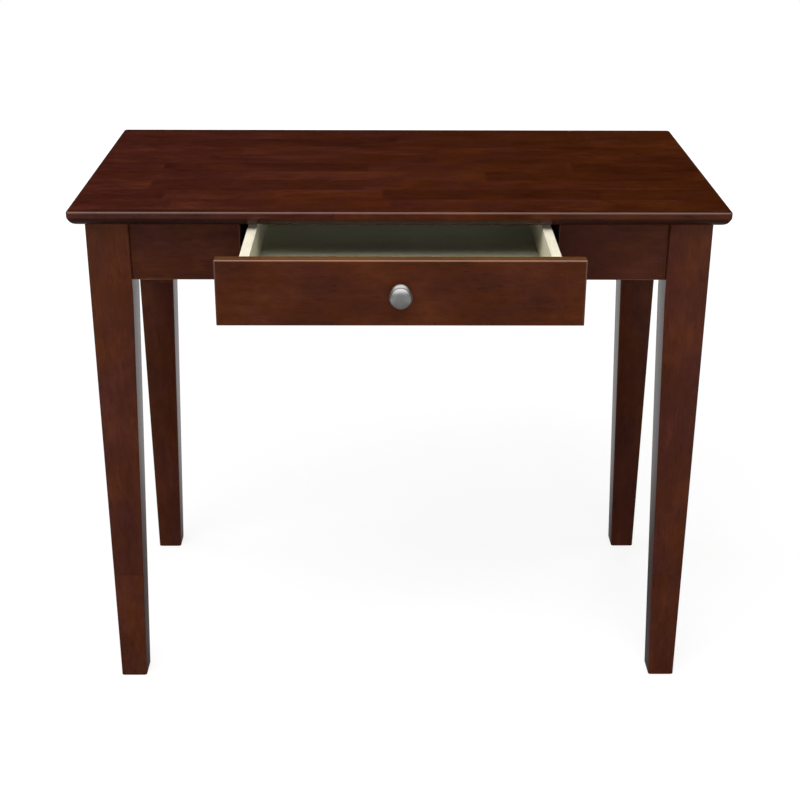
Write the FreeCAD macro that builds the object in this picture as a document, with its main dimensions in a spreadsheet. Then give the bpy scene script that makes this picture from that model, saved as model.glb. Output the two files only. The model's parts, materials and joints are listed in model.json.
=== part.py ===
import FreeCAD, Part
import math
import os
import re
import Sketcher
from FreeCAD import Rotation, Vector

# A writing desk with four tapered legs and one drawer on roller slides.
# X runs left to right, Y from front to back and Z up. The desk stands on z = 0, and the
# middle of its plan box, taken with the drawer standing part open, is the origin.

# Driving sizes in millimetres: name, value, what it measures.
SIZES = (
    ("top_width", 914, "desk top, left to right"),
    ("top_depth", 500, "desk top, front to back"),
    ("desk_height", 762, "floor to the writing surface"),
    ("top_thickness", 22, "desk top board"),
    ("top_overhang", 21, "desk top beyond the legs, all round"),
    ("top_corner_round", 6, "plan radius of the top's corners"),
    ("top_edge_round", 3, "radius along the top's upper edge"),
    ("under_reach", 20, "how far the curved undercut runs in from the top's edge"),
    ("under_rise", 13, "how far that undercut climbs up the edge"),
    ("leg_width", 60, "leg section at the aprons, square"),
    ("foot_width", 39, "leg section at the floor, square"),
    ("taper_drop", 25, "straight length of leg below the aprons"),
    ("leg_ease", 2.5, "rounding of the legs' long edges"),
    ("foot_bevel", 1.5, "bevel round each foot"),
    ("bolt_flat", 10, "corner cut off the leg for its bolt, along each side"),
    ("apron_height", 85, "aprons, top to bottom"),
    ("apron_thickness", 18, "apron boards"),
    ("apron_recess", 10, "aprons set back from the legs' outer faces"),
    ("opening_width", 446, "drawer opening between the short front aprons"),
    ("rail_thickness", 18, "rail under the drawer, top to bottom"),
    ("rail_depth", 60, "rail under the drawer, front to back"),
    ("runner_thickness", 18, "runner boards that carry the slides"),
    ("block_height", 50, "corner blocks, top to bottom"),
    ("block_thickness", 22, "corner blocks, square to their long faces"),
    ("block_gap", 1.5, "corner block to the flat of the leg"),
    ("bolt_radius", 4, "hanger bolts"),
    ("bolt_depth", 34, "hanger bolt inside the leg"),
    ("bolt_tip", 4, "hanger bolt beyond its nut"),
    ("bolt_clearance", 0.5, "hanger bolt in the corner block, all round"),
    ("washer_radius", 9, "hanger bolt washers"),
    ("washer_thickness", 1.6, "hanger bolt washers"),
    ("nut_corner_radius", 7.5, "hanger bolt nuts, centre to corner"),
    ("nut_height", 6.5, "hanger bolt nuts"),
    ("dowel_radius", 4, "wooden dowels"),
    ("dowel_reach", 20, "dowel in each piece that it joins lengthwise"),
    ("dowel_cover", 8, "apron left beyond a dowel in its thickness"),
    ("hole_room", 1, "space left at the end of a dowel, bolt or screw in its hole"),
    ("screw_radius", 2, "wood screws"),
    ("screw_head_radius", 4, "wood screws"),
    ("screw_head_height", 2.4, "wood screws"),
    ("screw_bore_radius", 4.5, "sunk bores for the wood screws' heads"),
    ("block_screw_seat", 8, "wood left under a block screw's head"),
    ("block_screw_cover", 6, "apron left beyond a block screw"),
    ("top_screw_sink", 20, "depth of the bore for a top screw's head"),
    ("top_screw_cover", 8, "desk top left beyond a top screw"),
    ("rail_screw_bite", 20, "rail screw inside the rail"),
    ("snug_fit", 0.1, "play round dowels, screws, threads and joints"),
    ("slide_gap", 12.5, "drawer side to runner board, room for one slide"),
    ("slide_short", 5, "slide members shorter than the drawer sides"),
    ("slide_setback", 2, "slide members behind the face that they start from"),
    ("steel", 1.2, "slide sheet"),
    ("member_gap", 1.5, "fixed member's flanges to the moving member's web"),
    ("flange_gap", 1.3, "moving flange below the fixed member's upper flange"),
    ("flange_room", 2.1, "moving flange to the fixed web"),
    ("foot_reach", 9, "moving member's foot under the drawer side"),
    ("roller_radius", 8, "slide rollers"),
    ("roller_inset", 12, "roller axis from the end of its member"),
    ("roller_step", 1.2, "front roller's axis above the rear roller's"),
    ("roller_gap", 0.3, "roller to the flange that it runs on"),
    ("roller_play", 0.6, "roller to the web that carries it"),
    ("pin_radius", 2.5, "roller pins"),
    ("pin_head_radius", 4, "roller pins"),
    ("pin_head", 1, "thickness of a roller pin's head"),
    ("pin_play", 0.3, "roller to the head of its pin"),
    ("pin_fit", 0.1, "play round a roller pin"),
    ("pin_room", 0.7, "roller pin's head to the screws that pass it"),
    ("slide_screw_radius", 1.6, "slide screws"),
    ("slide_screw_head_radius", 3.2, "slide screws"),
    ("slide_screw_head", 1, "thickness of a slide screw's head"),
    ("slide_screw_cover", 3.2, "drawer side left beyond a slide screw"),
    ("stop_height", 3, "stop pressed up from the fixed member's lower flange"),
    ("stop_length", 6, "the same stop, front to back"),
    ("drawer_open", 144, "how far the drawer stands open at rest"),
    ("slide_overlap", 100, "slide members still lapped with the drawer fully open"),
    ("closed_gap", 0.5, "drawer front to the aprons when closed"),
    ("drawer_lift", 3, "drawer side above the rail"),
    ("front_overlay", 19, "drawer front past each side of the opening"),
    ("front_drop", 9, "drawer front below the aprons"),
    ("front_thickness", 18, "drawer front"),
    ("front_top_gap", 4, "drawer front below the desk top"),
    ("front_round", 2.5, "rounding round the drawer front's face"),
    ("side_top_gap", 5, "drawer sides below the desk top"),
    ("side_thickness", 13, "drawer sides"),
    ("rear_room", 25.5, "closed drawer to the rear apron"),
    ("tail_depth", 8, "dovetail in the drawer front"),
    ("tail_cheek", 1, "drawer side left outside the dovetail's end, each way"),
    ("tail_flare", 1.5, "dovetail narrower at its root, each way"),
    ("tail_stop", 12, "dovetail stopped below the top of the side"),
    ("panel_thickness", 4, "drawer bottom"),
    ("panel_lift", 6, "drawer bottom above the sides' lower edges"),
    ("panel_play", 0.2, "room above the drawer bottom in its grooves"),
    ("groove_depth", 5, "grooves for the drawer bottom"),
    ("back_thickness", 13, "drawer back"),
    ("back_inset", 10, "drawer back from the ends of the sides"),
    ("back_drop", 4, "drawer back below the tops of the sides"),
    ("back_housing", 5, "drawer back let into each side"),
    ("brad_radius", 0.9, "brads through the sides into the drawer back"),
    ("brad_length", 26, "the same brads"),
    ("panel_screw_radius", 1.5, "screws through the drawer bottom"),
    ("panel_screw_head_radius", 3, "the same screws"),
    ("panel_screw_head", 1.6, "thickness of their heads"),
    ("panel_screw_bite", 14, "the same screws inside the drawer back"),
    ("knob_base", 1.2, "thickness of the knob's base disc"),
    ("knob_skirt", 4.7, "knob's base disc to the top of its skirt"),
    ("knob_taper", 1.6, "knob's skirt to its waist"),
    ("knob_waist", 5, "straight part of the knob's waist"),
    ("knob_flare", 5, "knob's waist to the rim of its head"),
    ("knob_rim", 1.5, "width of the rim of the knob's head"),
    ("knob_rise", 8, "raised face in front of the rim"),
    ("knob_head_radius", 15.25, "knob at its widest"),
    ("knob_base_radius", 13.4, "knob where it meets the drawer front"),
    ("knob_neck_radius", 8, "knob at its waist"),
    ("knob_skirt_radius", 9.4, "knob above its base disc"),
    ("knob_ring_radius", 14.6, "raised face of the knob"),
    ("knob_face_round", 6.5, "rounding of the raised face"),
    ("knob_screw_radius", 2, "knob screw"),
    ("knob_screw_bite", 11, "knob screw inside the knob"),
    ("knob_screw_clearance", 0.3, "knob screw in the drawer front, all round"),
    ("knob_screw_head_radius", 4, "knob screw"),
    ("knob_screw_head", 2.6, "thickness of the knob screw's head"),
    ("overrun", 1, "how far a cutting shape reaches past what it cuts"),
)

# Places and sizes that follow from those above: name, formula, what it is.
DERIVED = (
    ("top_under", "desk_height - top_thickness", "height of the top's underside"),
    ("under_radius", "(under_reach ^ 2 + under_rise ^ 2) / (2 * under_rise)", "undercut's curve"),
    ("apron_bottom", "top_under - apron_height", "height of the aprons' lower edges"),
    ("taper_top", "apron_bottom - taper_drop", "height where the leg's taper starts"),
    ("apron_reach", "top_depth / 2 - top_overhang - apron_recess", "desk's middle to an apron's face"),
    ("knob_waist_end", "knob_base + knob_skirt + knob_taper + knob_waist", "front of the knob's waist"),
    ("knob_rim_end", "knob_waist_end + knob_flare + knob_rim", "front of the rim of the knob's head"),
    ("knob_length", "knob_rim_end + knob_rise", "knob in front of the drawer front"),
    (
        "desk_middle",
        "(apron_reach + closed_gap + drawer_open + front_thickness + knob_length - top_depth / 2) / 2",
        "the desk top's middle on Y",
    ),
    ("leg_left", "top_overhang - top_width / 2", "outer face of the left legs"),
    ("leg_front", "desk_middle + top_overhang - top_depth / 2", "front face of the front legs"),
    ("apron_left", "leg_left + apron_recess", "outer face of the left apron"),
    ("apron_front", "leg_front + apron_recess", "face of the front aprons"),
    ("inside_left", "apron_left + apron_thickness", "inner face of the left apron"),
    ("inside_front", "apron_front + apron_thickness", "inner face of the front aprons"),
    ("inside_depth", "2 * (desk_middle - inside_front)", "front apron to rear apron"),
    ("leg_inside", "leg_width - apron_recess - apron_thickness", "leg proud of an apron's inner face"),
    ("half_opening", "opening_width / 2", "desk's middle to the opening's side"),
    ("half_box", "half_opening - slide_gap", "desk's middle to a drawer side's outer face"),
    ("block_near", "2 * leg_inside - bolt_flat + block_gap * sqrt(2)", "block's near edge on an apron"),
    ("block_far", "block_near + block_thickness * sqrt(2)", "block's far edge on an apron"),
    ("block_bottom", "top_under - block_height", "height of the blocks' lower faces"),
    ("bolt_z", "top_under - block_height / 2", "height of the hanger bolts"),
    ("flat_x", "leg_left + leg_width - bolt_flat / 2", "middle of the front left leg's flat"),
    ("flat_y", "leg_front + leg_width - bolt_flat / 2", "middle of the front left leg's flat"),
    ("nut_start", "block_gap + block_thickness + washer_thickness", "leg's flat to the nut"),
    ("bolt_length", "bolt_depth + nut_start + nut_height + bolt_tip", "hanger bolts"),
    ("dowel_stub", "apron_thickness - dowel_cover", "dowel in the thickness of an apron"),
    ("block_screw_bite", "apron_thickness - block_screw_cover", "block screw inside the apron"),
    ("top_screw_bite", "top_thickness - top_screw_cover", "top screw inside the desk top"),
    ("side_bottom", "apron_bottom + rail_thickness + drawer_lift", "height of the drawer sides"),
    ("side_height", "top_under - side_top_gap - side_bottom", "drawer sides"),
    ("box_depth", "apron_thickness + inside_depth + closed_gap - rear_room", "drawer sides, front to back"),
    ("tail_width", "side_thickness - 2 * tail_cheek", "dovetail across its end"),
    ("tail_neck", "tail_width - 2 * tail_flare", "dovetail across its root"),
    ("drawer_y", "apron_front - closed_gap - drawer_open", "back of the drawer front"),
    ("front_width", "opening_width + 2 * front_overlay", "drawer front"),
    ("front_bottom", "apron_bottom - front_drop", "height of the drawer front's lower edge"),
    ("front_height", "top_under - front_top_gap - front_bottom", "drawer front"),
    ("knob_bore_depth", "knob_screw_bite + hole_room", "threaded hole in the knob"),
    ("knob_z", "front_bottom + front_height / 2", "height of the knob"),
    ("panel_z", "side_bottom + panel_lift", "height of the drawer bottom's lower face"),
    ("panel_reach", "half_box - side_thickness + groove_depth", "desk's middle to a groove's floor"),
    ("back_y", "drawer_y + box_depth - back_inset - back_thickness", "front face of the drawer back"),
    ("back_z", "panel_z + panel_thickness", "height of the drawer back's lower edge"),
    ("back_height", "side_bottom + side_height - back_drop - back_z", "drawer back"),
    ("slide_length", "box_depth - slide_short", "slide members"),
    ("drawer_travel", "slide_length - slide_overlap", "how far the drawer opens in all"),
    ("slide_screw_length", "steel + side_thickness - slide_screw_cover", "slide screws below the head"),
    ("web_gap", "slide_gap - 2 * steel", "fixed web to moving web"),
    ("flange_reach", "web_gap - flange_room", "moving flange from its web"),
    ("pin_reach", "pin_play + pin_head + pin_room", "roller's end to a passing screw head"),
    ("roller_width", "web_gap - roller_play - pin_reach - slide_screw_head", "slide rollers"),
    ("slide_front", "apron_front + slide_setback", "front end of the fixed members"),
    ("moving_front", "drawer_y + slide_setback", "front end of the moving members"),
    ("rear_roller_z", "side_bottom + steel + roller_gap + roller_radius", "axis of the rear rollers"),
    ("front_roller_z", "rear_roller_z + roller_step", "axis of the front rollers"),
    ("front_roller_y", "slide_front + roller_inset", "axis of the front rollers"),
    ("rear_roller_y", "moving_front + slide_length - roller_inset", "axis of the rear rollers at rest"),
    ("flange_z", "front_roller_z + roller_radius + roller_gap", "underside of the moving flanges"),
    ("fixed_height", "flange_z + flange_gap + 2 * steel - side_bottom", "fixed members, top to bottom"),
    ("fixed_reach", "slide_gap - steel - member_gap", "fixed members' flanges from the runner"),
    ("web_x", "-half_box - steel", "outer face of the left moving member's web"),
    ("stop_y", "rear_roller_y + drawer_open - drawer_travel - roller_radius - stop_length", "stop"),
)

# Heights and places along a piece, as shares of it.
DOWEL_HEIGHT_SHARES = (0.2, 0.8)
RUNNER_DOWEL_SHARES = (0.3, 0.7)
BLOCK_SCREW_SHARES = (0.2, 0.8)
FIXED_SCREW_SHARES = (0.14, 0.5, 0.88)
MOVING_SCREW_SHARES = (0.08, 0.45, 0.85)
BRAD_HEIGHT_SHARES = (0.45, 0.8)
PANEL_SCREW_SHARES = (-0.7, 0, 0.7)
BLOCK_SCREW_SPREAD_SHARE = 0.3
TOP_SCREW_SPREAD_SHARE = 0.27
RAIL_SCREW_SHARE = 0.65

# How near to a level, in millimetres, an edge counts as lying at it.
NEARNESS = 0.001

TURNS = {
    "X": Rotation(Vector(0, 1, 0), 90),
    "Y": Rotation(Vector(1, 0, 0), -90),
    "Z": Rotation(),
    "diagonal": Rotation(Vector(0, 0, 1), Vector(1, 1, 0)),
    "forward": Rotation(Vector(1, 0, 0), 90),
    "corner": Rotation(Vector(0, 0, 1), 45),
}

doc = FreeCAD.newDocument("writing_desk")
sheet = doc.addObject("Spreadsheet::Sheet", "Sizes")
nodes = []


def fill_sheet():
    rows = [(name, str(size), note) for name, size, note in SIZES]
    rows += [(name, "=" + formula, note) for name, formula, note in DERIVED]
    for number, (name, content, note) in enumerate(rows, start=1):
        sheet.set(f"A{number}", note)
        sheet.set(f"B{number}", content)
        sheet.setAlias(f"B{number}", name)
    doc.recompute()


NAMES = {row[0] for row in SIZES + DERIVED}


def bound(text):
    """The expression with each size's name pointed at the sheet."""
    return re.sub(r"[a-z_]+", lambda word: "Sizes." * (word[0] in NAMES) + word[0], text)


def measure(text):
    return float(sheet.evalExpression(bound(text)))


def make(kind, name, place=("0", "0", "0"), turn="Z", **sizes):
    """One document object with its sizes and its place bound to the sheet."""
    piece = doc.addObject(kind, name)
    for size, text in sizes.items():
        piece.setExpression(size, bound(text))
    piece.Placement.Rotation = TURNS[turn]
    for axis, text in zip("xyz", place):
        piece.setExpression(f"Placement.Base.{axis}", bound(text))
    return piece


def board(name, place, length, width, height, turn="Z"):
    return make("Part::Box", name, place, turn, Length=length, Width=width, Height=height)


def rod(name, place, along, radius, length):
    return make("Part::Cylinder", name, place, along, Radius=radius, Height=length)


def gathered(name, pieces):
    group = doc.addObject("Part::Compound", name)
    group.Links = pieces
    return group


def fused(name, pieces):
    whole = doc.addObject("Part::MultiFuse", name)
    whole.Shapes = pieces
    return whole


def carved(name, blank, tools):
    cut = doc.addObject("Part::Cut", name)
    cut.Base = blank
    cut.Tool = tools[0] if len(tools) == 1 else fused(f"{name}_waste", tools)
    return cut


def mirrored(name, source, across):
    """The source seen across the desk's middle, left to right or front to back."""
    image = doc.addObject("Part::Mirroring", name)
    image.Source = source
    image.Normal = Vector(1, 0, 0) if across == "X" else Vector(0, 1, 0)
    if across == "Y":
        image.setExpression("Base.y", bound("desk_middle"))
    return image


def pair(name, pieces):
    """Pieces on the left together with their images on the right."""
    left = gathered(f"{name}_left", pieces)
    return gathered(name, [left, mirrored(f"{name}_right", left, "X")])


def corners(name, pieces):
    """Pieces at the front left corner together with their images at the other three."""
    front = pair(f"{name}_front", pieces)
    return gathered(name, [front, mirrored(f"{name}_rear", front, "Y")])


def node(piece):
    nodes.append(piece)
    return piece


def both_sides(left, right_name):
    node(left)
    return node(mirrored(right_name, left, "X"))


def all_corners(front_left, kind):
    node(front_left)
    node(mirrored(f"front_right_{kind}", front_left, "X"))
    rear_left = node(mirrored(f"rear_left_{kind}", front_left, "Y"))
    node(mirrored(f"rear_right_{kind}", rear_left, "X"))


def new_sketch(body, name, role):
    sketch = body.newObject("Sketcher::SketchObject", name)
    plane = next(part for part in body.Origin.OriginFeatures if part.Role == role)
    sketch.AttachmentSupport = (plane, [""])
    sketch.MapMode = "FlatFace"
    return sketch


def outline(body, name, role, points):
    """A closed sketch of straight lines through points that are bound to the sheet."""
    sketch = new_sketch(body, name, role)
    spots = [spot(point) for point in points]
    for number, start in enumerate(spots):
        sketch.addGeometry(Part.LineSegment(start, spots[(number + 1) % len(spots)]), False)
    for number, point in enumerate(points):
        following = (number + 1) % len(spots)
        sketch.addConstraint(Sketcher.Constraint("Coincident", number, 2, following, 1))
        hold(sketch, number, 1, point)
    return sketch


def spot(point):
    across, up = point
    return Vector(measure(across), measure(up), 0)


def hold(sketch, line, end, point):
    """Ties one end of a line to its place: each distance from the origin, or an axis for none."""
    for kind, axis, text in zip(("DistanceX", "DistanceY"), (-2, -1), point):
        if text == "0":
            sketch.addConstraint(Sketcher.Constraint("PointOnObject", line, end, axis))
            continue
        index = sketch.addConstraint(Sketcher.Constraint(kind, -1, 1, line, end, measure(text)))
        sketch.setExpression(f"Constraints[{index}]", bound(text))


def eased_square(body, name, side, ease, height):
    """A level sketch of a square with rounded corners, one corner near the origin."""
    sketch = new_sketch(body, name, "XY_Plane")
    sketch.setExpression("AttachmentOffset.Base.z", bound(height))
    far = f"{side} - {ease}"
    runs = (((ease, "0"), (far, "0")), ((side, ease), (side, far)))
    runs += (((far, side), (ease, side)), (("0", far), ("0", ease)))
    centres = ((far, ease), (far, far), (ease, far), (ease, ease))
    for quarter, (run, centre) in enumerate(zip(runs, centres)):
        circle = Part.Circle(spot(centre), Vector(0, 0, 1), measure(ease))
        start = (quarter - 1) * math.pi / 2
        sketch.addGeometry(Part.LineSegment(spot(run[0]), spot(run[1])), False)
        sketch.addGeometry(Part.ArcOfCircle(circle, start, start + math.pi / 2), False)
    for quarter, run in enumerate(runs):
        line = 2 * quarter
        following = (line + 2) % (2 * len(runs))
        sketch.addConstraint(Sketcher.Constraint("Tangent", line, 2, line + 1, 1))
        sketch.addConstraint(Sketcher.Constraint("Coincident", line + 1, 2, following, 1))
        hold(sketch, line, 1, run[0])
        hold(sketch, line, 2, run[1])
    return sketch


def rectangle(width, height):
    return (("0", "0"), (width, "0"), (width, height), ("0", height))


def padded(name, role, points, length, place, turn="Z", reverse=False):
    """A body padded from one outline, and its pad."""
    body = make("PartDesign::Body", name, place, turn)
    pad = body.newObject("PartDesign::Pad", f"{name}_pad")
    pad.Profile = outline(body, f"{name}_outline", role, points)
    pad.setExpression("Length", bound(length))
    pad.Reversed = reverse
    doc.recompute()
    return body, pad


def eased(body, name, kind, size, chosen):
    """A fillet or chamfer on the edges of the body that the test chooses."""
    base = body.Tip
    edges = enumerate(base.Shape.Edges, start=1)
    names = [f"Edge{number}" for number, edge in edges if chosen(edge)]
    feature = body.newObject(f"PartDesign::{kind}", name)
    feature.Base = (base, names)
    feature.setExpression("Radius" if kind == "Fillet" else "Size", bound(size))
    doc.recompute()
    return feature


def runs_up(edge):
    start, end = edge.Vertexes[0].Point, edge.Vertexes[-1].Point
    return abs(end.z - start.z) > abs(end.x - start.x) + abs(end.y - start.y)


def lies_at(axis, text):
    level = measure(text)

    def test(edge):
        return all(abs(getattr(corner.Point, axis) - level) < NEARNESS for corner in edge.Vertexes)

    return test


def wood_screw(name, seat, along, forward, length):
    """A round-headed wood screw: its seat, and the way that its tip points along an axis."""
    axis = "XYZ".index(along)
    shank_start, head_start = list(seat), list(seat)
    if forward:
        head_start[axis] += " - screw_head_height"
    else:
        shank_start[axis] += f" - ({length})"
    shank = rod(f"{name}_shank", shank_start, along, "screw_radius", length)
    head = rod(f"{name}_head", head_start, along, "screw_head_radius", "screw_head_height")
    return fused(name, [shank, head])


# Fastenings at the front left corner


def corner_dowels(prefix, radius, room):
    """Two dowels into the front apron's end and two into the left apron's end."""
    length = f"2 * (dowel_reach + {room})"
    ends = {"X": [], "Y": []}
    for number, share in enumerate(DOWEL_HEIGHT_SHARES):
        height = f"apron_bottom + apron_height * {share}"
        across = (f"leg_left + leg_width - dowel_reach - {room}", "apron_front + apron_thickness / 2", height)
        back = ("apron_left + apron_thickness / 2", f"leg_front + leg_width - dowel_reach - {room}", height)
        ends["X"].append(rod(f"{prefix}_across_{number}", across, "X", radius, length))
        ends["Y"].append(rod(f"{prefix}_back_{number}", back, "Y", radius, length))
    return ends


def on_diagonal(start):
    """A place on the hanger bolt's line, measured from the leg's flat."""
    return (f"flat_x + ({start}) * sqrt(0.5)", f"flat_y + ({start}) * sqrt(0.5)", "bolt_z")


def hanger_bolt():
    return rod("hanger_bolt", on_diagonal("-bolt_depth"), "diagonal", "bolt_radius", "bolt_length")


def bolt_hole(name, play):
    start = on_diagonal("-bolt_depth - hole_room")
    return rod(name, start, "diagonal", f"bolt_radius + {play}", "bolt_length + hole_room")


def bolt_washer():
    start = on_diagonal("block_gap + block_thickness")
    disc = rod("washer_disc", start, "diagonal", "washer_radius", "washer_thickness")
    return carved("bolt_washer", disc, [bolt_hole("washer_hole", "snug_fit")])


def bolt_nut():
    sizes = {"Circumradius": "nut_corner_radius", "Height": "nut_height"}
    prism = make("Part::Prism", "nut_prism", on_diagonal("nut_start"), "diagonal", **sizes)
    return carved("bolt_nut", prism, [bolt_hole("nut_hole", "snug_fit")])


def block_screws():
    """Screws from the corner block into both aprons, with the shapes that make room for them."""
    screws, bores, pilots = [], [], {"X": [], "Y": []}
    along_block = f"block_near + (block_far - block_near) * {BLOCK_SCREW_SPREAD_SHARE}"
    length = "block_screw_seat + block_screw_bite"
    for number, share in enumerate(BLOCK_SCREW_SHARES):
        height = f"block_bottom + block_height * {share}"
        seats = {
            "X": ("inside_left + block_screw_seat", f"inside_front + {along_block}", height),
            "Y": (f"inside_left + {along_block}", "inside_front + block_screw_seat", height),
        }
        for along, seat in seats.items():
            name = f"block_screw_{along}_{number}"
            screws.append(wood_screw(name, seat, along, False, length))
            hole = list(seat)
            hole["XYZ".index(along)] += f" - ({length}) - hole_room"
            reach = f"{length} + hole_room"
            pilots[along].append(rod(f"{name}_hole", hole, along, "screw_radius + snug_fit", reach))
            bores.append(rod(f"{name}_bore", seat, along, "screw_bore_radius", "block_far"))
    return screws, bores, pilots


def top_screws():
    """Screws up through the corner block into the desk top, with their holes."""
    screws, holes = [], []
    middle = "(block_near + block_far) / 4"
    length = "block_height - top_screw_sink + top_screw_bite"
    for number, sign in enumerate("+-"):
        spread = f"block_near * {TOP_SCREW_SPREAD_SHARE}"
        x = f"inside_left + {middle} {sign} {spread}"
        y = f"inside_front + {middle} {'-' if sign == '+' else '+'} {spread}"
        seat = (x, y, "block_bottom + top_screw_sink")
        screws.append(wood_screw(f"top_screw_{number}", seat, "Z", True, length))
        hole_radius = "screw_radius + snug_fit"
        holes.append(rod(f"top_screw_hole_{number}", seat, "Z", hole_radius, f"{length} + hole_room"))
        mouth = (x, y, "block_bottom - overrun")
        depth = "top_screw_sink + overrun"
        holes.append(rod(f"top_screw_bore_{number}", mouth, "Z", "screw_bore_radius", depth))
    return screws, holes


# Frame


def desk_top(screw_holes):
    place = ("-top_width / 2", "desk_middle - top_depth / 2", "top_under")
    outer = rectangle("top_width", "top_depth")
    body, _ = padded("top_board", "XY_Plane", outer, "top_thickness", place)
    eased(body, "top_corners", "Fillet", "top_corner_round", runs_up)
    eased(body, "top_upper_edge", "Fillet", "top_edge_round", lies_at("z", "top_thickness"))
    return carved("desk_top", body, undercuts() + [screw_holes])


def undercuts():
    """What is taken off below the top's four edges, hollow towards the board."""
    left, front = "-top_width / 2", "desk_middle - top_depth / 2"
    start = (f"{left} - overrun", f"{front} - overrun", "top_under - overrun")
    depth, rise = "under_reach + overrun", "under_rise + overrun"
    width, length = "top_width + 2 * overrun", "top_depth + 2 * overrun"
    centre = "top_under + under_radius"
    side_centre = (f"{left} + under_reach", f"{front} - overrun", centre)
    side_curve = rod("left_curve", side_centre, "Y", "under_radius", length)
    side = carved("left_undercut", board("left_waste", start, depth, length, rise), [side_curve])
    face_centre = (f"{left} - overrun", f"{front} + under_reach", centre)
    face_curve = rod("front_curve", face_centre, "X", "under_radius", width)
    face = carved("front_undercut", board("front_waste", start, width, depth, rise), [face_curve])
    return [side, mirrored("right_undercut", side, "X"), face, mirrored("rear_undercut", face, "Y")]


def leg(dowel_holes):
    body = make("PartDesign::Body", "leg_blank", ("leg_left", "leg_front", "0"))
    foot = eased_square(body, "leg_foot_outline", "foot_width", "leg_ease", "0")
    waist = eased_square(body, "leg_waist_outline", "leg_width", "leg_ease", "taper_top")
    tapered = body.newObject("PartDesign::AdditiveLoft", "leg_taper")
    tapered.Profile = foot
    tapered.Sections = [waist]
    tapered.Ruled = True
    head = body.newObject("PartDesign::Pad", "leg_head")
    head.Profile = waist
    head.setExpression("Length", bound("top_under - taper_top"))
    doc.recompute()
    eased(body, "leg_foot", "Chamfer", "foot_bevel", lies_at("z", "0"))
    across = "leg_width / 2 * sqrt(0.5)"
    corner = (f"flat_x + {across}", f"flat_y - {across}", "block_bottom")
    flat = board("leg_flat", corner, "bolt_flat", "leg_width", "block_height + overrun", "corner")
    hole = bolt_hole("leg_bolt_hole", "snug_fit")
    return carved("front_left_leg", body, [flat, hole] + dowel_holes["X"] + dowel_holes["Y"])


def side_apron(dowel_holes, pilots):
    place = ("apron_left", "leg_front + leg_width", "apron_bottom")
    length = "top_depth - 2 * (top_overhang + leg_width)"
    blank = board("left_apron_blank", place, "apron_thickness", length, "apron_height")
    front = gathered("left_apron_front_holes", dowel_holes["Y"] + pilots["X"])
    return carved("left_apron", blank, [front, mirrored("left_apron_rear_holes", front, "Y")])


def rear_apron(dowel_holes, pilots, runner_holes):
    length = "top_width - 2 * (top_overhang + leg_width)"
    y = "2 * desk_middle - apron_front - apron_thickness"
    place = ("leg_left + leg_width", y, "apron_bottom")
    blank = board("rear_apron_blank", place, length, "apron_thickness", "apron_height")
    holes = pair("apron_end_holes", dowel_holes["X"] + pilots["Y"] + runner_holes)
    return carved("rear_apron", blank, [mirrored("rear_apron_holes", holes, "Y")])


def front_apron(dowel_holes, pilots, runner_holes, rail_hole):
    place = ("leg_left + leg_width", "apron_front", "apron_bottom")
    length = "-half_opening - leg_left - leg_width"
    blank = board("front_left_apron_blank", place, length, "apron_thickness", "apron_height")
    return carved("front_left_apron", blank, dowel_holes["X"] + pilots["Y"] + runner_holes + [rail_hole])


def corner_block(bores, pilots, screw_holes):
    place = ("inside_left", "inside_front", "block_bottom")
    points = (("block_near", "0"), ("block_far", "0"), ("0", "block_far"), ("0", "block_near"))
    body, _ = padded("corner_block_blank", "XY_Plane", points, "block_height", place)
    hole = bolt_hole("block_bolt_hole", "bolt_clearance")
    return carved("front_left_corner_block", body, [hole] + bores + pilots["X"] + pilots["Y"] + screw_holes)


def runner_dowels(prefix, radius, room):
    """Dowels that join a runner board to the back of the front apron."""
    dowels = []
    for number, share in enumerate(RUNNER_DOWEL_SHARES):
        height = f"apron_bottom + apron_height * {share}"
        start = ("-half_opening - runner_thickness / 2", f"inside_front - dowel_stub - {room}", height)
        length = f"dowel_stub + dowel_reach + 2 * {room}"
        dowels.append(rod(f"{prefix}_{number}", start, "Y", radius, length))
    return dowels


def runner_board(dowel_holes, rail_screw_hole, slide_screw_holes):
    place = ("-half_opening - runner_thickness", "inside_front", "apron_bottom")
    blank = board("left_runner_blank", place, "runner_thickness", "inside_depth", "apron_height")
    front = gathered("left_runner_front_holes", dowel_holes)
    rear = mirrored("left_runner_rear_holes", front, "Y")
    return carved("left_runner_board", blank, [front, rear, rail_screw_hole] + slide_screw_holes)


def drawer_rail(dowel_hole, screw_hole):
    place = ("-half_opening", "apron_front", "apron_bottom")
    blank = board("drawer_rail_blank", place, "opening_width", "rail_depth", "rail_thickness")
    return carved("drawer_rail", blank, [pair("drawer_rail_holes", [dowel_hole, screw_hole])])


def rail_dowel(name, radius, room):
    middle = ("apron_front + apron_thickness / 2", "apron_bottom + rail_thickness / 2")
    length = f"2 * (dowel_reach + {room})"
    return rod(name, (f"-half_opening - dowel_reach - {room}", *middle), "X", radius, length)


def rail_screw():
    """A screw through the runner board into the end of the rail, and its hole."""
    seat = ("-half_opening - runner_thickness", f"apron_front + rail_depth * {RAIL_SCREW_SHARE}")
    seat += ("apron_bottom + rail_thickness / 2",)
    length = "runner_thickness + rail_screw_bite"
    hole = rod("rail_screw_hole", seat, "X", "screw_radius + snug_fit", f"{length} + hole_room")
    return wood_screw("rail_screw", seat, "X", True, length), hole


# Slides


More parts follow.
